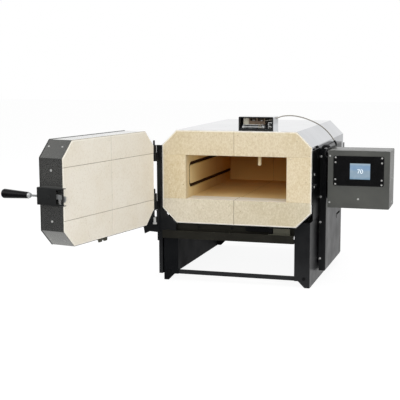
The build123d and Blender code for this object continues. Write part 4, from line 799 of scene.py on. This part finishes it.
# Piece, spots, head, turn, seed, body, finish and the nodes that it stands for
for piece, spots, head, turn, seed, body, finish_name, old in (
        ("case_screw_heads", case_spots, pan_head, any_turn, 3, "cabinet", "fastener_steel",
         ("case_screws",)),
        ("rail_screw_heads", rail_spots, pan_head, any_turn, 5, "cabinet", "blackened_steel",
         ("stand_screws",)),
        ("foot_bolt_heads", foot_spots, bolt_head, flat_turn, 7, "cabinet", "blackened_steel",
         ()),
        ("door_screw_heads", door_spots, pan_head, any_turn, 9, "door", "fastener_steel",
         ("door_screws",))):
    grown(piece, spots_mesh(piece, spots), spread_heads,
          {"Head": head, "Turn": turn, "Seed": seed}, body, finish_name, old)
for head in (pan_head, bolt_head):
    bpy.data.objects.remove(head)


# Clip beside the probe's terminals, seen through the hood's opening
def plate_mesh(name, outline, y_front, y_back):
    """Flat piece with an outline in X and Z, its front at one Y and its back at another."""
    count = len(outline)
    corners = [on_cabinet(x, y, z) for y in (y_front, y_back) for x, z in outline]
    faces = [tuple(range(count)), tuple(range(2 * count - 1, count - 1, -1))]
    faces += [(i, count + i, count + (i + 1) % count, (i + 1) % count) for i in range(count)]
    return new_mesh(name, corners, (), faces)


clip_foot, clip_right, clip_reach = 76.5, 82.0, 93.0
clip_front, clip_back = 23.0, 30.0
clip_sheet = 1.6
clip_low = 399.85
clip_top = clip_low + 19.5
clip_middle = clip_low + 9.5
clip_outline = [
    (clip_foot, clip_low), (clip_right, clip_low), (clip_right, clip_middle - clip_sheet),
    (clip_reach, clip_middle - clip_sheet), (clip_reach, clip_middle),
    (clip_right, clip_middle), (clip_right, clip_top - clip_sheet),
    (clip_reach, clip_top - clip_sheet), (clip_reach, clip_top),
    (clip_right - clip_sheet, clip_top), (clip_right - clip_sheet, clip_low + clip_sheet),
    (clip_foot, clip_low + clip_sheet)]
kept(in_scene("lead_clip", plate_mesh("lead_clip", clip_outline, clip_front, clip_back)),
     "cabinet", "terminal_steel")


# Number on the screen
def number_plate(name, words, height, thickness, place, finish, body):
    """Raised figures that face the front, centred on a place."""
    curve = bpy.data.curves.new(name, "FONT")
    curve.body = words
    curve.size = height * 1.4 * millimetre
    curve.offset = -height * 0.022 * millimetre
    curve.align_x = "CENTER"
    curve.align_y = "CENTER"
    curve.extrude = thickness / 2 * millimetre
    flat = in_scene(name + "_curve", curve)
    mesh = evaluated(flat)
    bpy.data.objects.remove(flat)
    mesh.transform(Matrix.Translation(place) @ Matrix.Rotation(pi / 2, 4, "X"))
    kept(in_scene(name, mesh), body, finish)


number_place = on_cabinet(311.4, 49.35, 297.0)
number_plate("screen_number", "70", 11.0, 0.3, number_place, "lit_figures", "cabinet")


# Camera at the photograph's place, with its fitted lens
camera_place = Vector((662.47, -2424.77, 567.0)) * millimetre
camera_yaw = 0.295609
camera_pitch = 0.147441
camera_roll = -0.003835
lens_pixels = 961.98
photo_pixels = 400
photo_middle = (201.28, 206.70)
sensor = 36.0

camera_data = bpy.data.cameras.new("camera")
camera_data.sensor_width = sensor
camera_data.lens = lens_pixels * sensor / photo_pixels
camera_data.shift_x = (photo_pixels / 2 - photo_middle[0]) / photo_pixels
camera_data.shift_y = (photo_middle[1] - photo_pixels / 2) / photo_pixels
camera = in_scene("camera", camera_data)
camera.matrix_world = (Matrix.Translation(camera_place)
                       @ Matrix.Rotation(camera_yaw, 4, "Z")
                       @ Matrix.Rotation(pi / 2 - camera_pitch, 4, "X")
                       @ Matrix.Rotation(camera_roll, 4, "Z"))
bpy.context.scene.camera = camera


# Floor: lit evenly where it is looked at, and dark in front where polished metal mirrors it
white = (1.0, 1.0, 1.0, 1.0)
floor_reach = 12.0
floor_share = 0.8
floor_glow = 1.14
floor_mesh = new_mesh("studio_floor", [(-floor_reach, -floor_reach, 0),
                                       (floor_reach, -floor_reach, 0),
                                       (floor_reach, floor_reach, 0),
                                       (-floor_reach, floor_reach, 0)], (), [(0, 1, 2, 3)])
studio_floor = in_scene("studio_floor", floor_mesh)
ground = Finish("studio_floor", 0.9, Base_Color=(0.82, 0.82, 0.82, 1.0))
rays = ground.add("ShaderNodeLightPath").outputs
lit_part = ground.spread(ground.axis("Y"), -0.55, -0.25, 0.04, 0.7)
mirrored = ground.maths("MULTIPLY", rays["Is Glossy Ray"], lit_part)
looked_at = ground.maths("ADD", rays["Is Camera Ray"], rays["Is Transmission Ray"])
strength = ground.maths("ADD", ground.maths("MULTIPLY", looked_at, floor_glow), mirrored)
glow = ground.add("ShaderNodeEmission", Color=white, Strength=strength)
shown = ground.maths("ADD", ground.maths("MULTIPLY", looked_at, floor_share),
                     rays["Is Glossy Ray"])
blend = ground.add("ShaderNodeMixShader")
for socket, value in zip(blend.inputs, (ground.maths("MINIMUM", shown, 1.0),
                                        ground.shader.outputs[0], glow.outputs[0])):
    ground.put(socket, value)
ground.feed(ground.nodes["Material Output"], Surface=blend.outputs[0])
floor_mesh.materials.append(ground.material)

# The room is white behind and beside the object. Polished metal sees it dark low in front
# and dimmer overhead.
room_light = 0.42
world = bpy.data.worlds.new("studio_room")
bpy.context.scene.world = world
world.use_nodes = True
room = Graph(world.node_tree)
rays = room.add("ShaderNodeLightPath").outputs
around = room.add("ShaderNodeTexCoord").outputs["Generated"]
way = room.add("ShaderNodeSeparateXYZ", Vector=around).outputs
ahead = room.spread(way["Y"], -0.5, -0.1, 0.04, 1.0)
raised = room.spread(way["Z"], 0.12, 0.3, 0.0, 0.55)
overhead = room.spread(way["Z"], 0.45, 0.8, 1.0, 0.16)
mirror_view = room.maths("MINIMUM", room.maths("MAXIMUM", ahead, raised), overhead)
soft_light = room.mixed(rays["Is Glossy Ray"], room_light, mirror_view, "FLOAT")
looked_at = room.maths("ADD", rays["Is Camera Ray"], rays["Is Transmission Ray"])
room.feed(room.nodes["Background"], Color=white,
          Strength=room.mixed(looked_at, soft_light, 1.0, "FLOAT"))


# Lamps
def panel_lamp(name, place, aim, width, height, power, mirrored=True):
    """Large soft lamp that looks at a point; a lamp that isn't mirrored leaves no gloss."""
    data = bpy.data.lights.new(name, "AREA")
    data.shape = "RECTANGLE"
    data.size = width
    data.size_y = height
    data.energy = power
    lamp = in_scene(name, data)
    lamp.location = place
    lamp.visible_glossy = mirrored
    lamp.rotation_euler = (Vector(aim) - Vector(place)).to_track_quat("-Z", "Y").to_euler()


panel_lamp("left_panel", place=(-1.5, -2.5, 2.7), aim=(0, 0, 0.3), width=2.0, height=1.6,
           power=19, mirrored=False)
panel_lamp("right_panel", place=(3.1, -2.5, 2.6), aim=(0.05, 0, 0.3), width=2.0, height=2.0,
           power=49, mirrored=False)
panel_lamp("mouth_panel", place=(0.25, -3.0, 1.0), aim=(0.03, 0.1, 0.25), width=1.4,
           height=0.7, power=22, mirrored=False)
panel_lamp("top_panel", place=(0.0, 0.3, 2.8), aim=(0, 0, 0.3), width=2.4, height=2.4, power=24)

view = bpy.context.scene.view_settings
view.view_transform = "Standard"
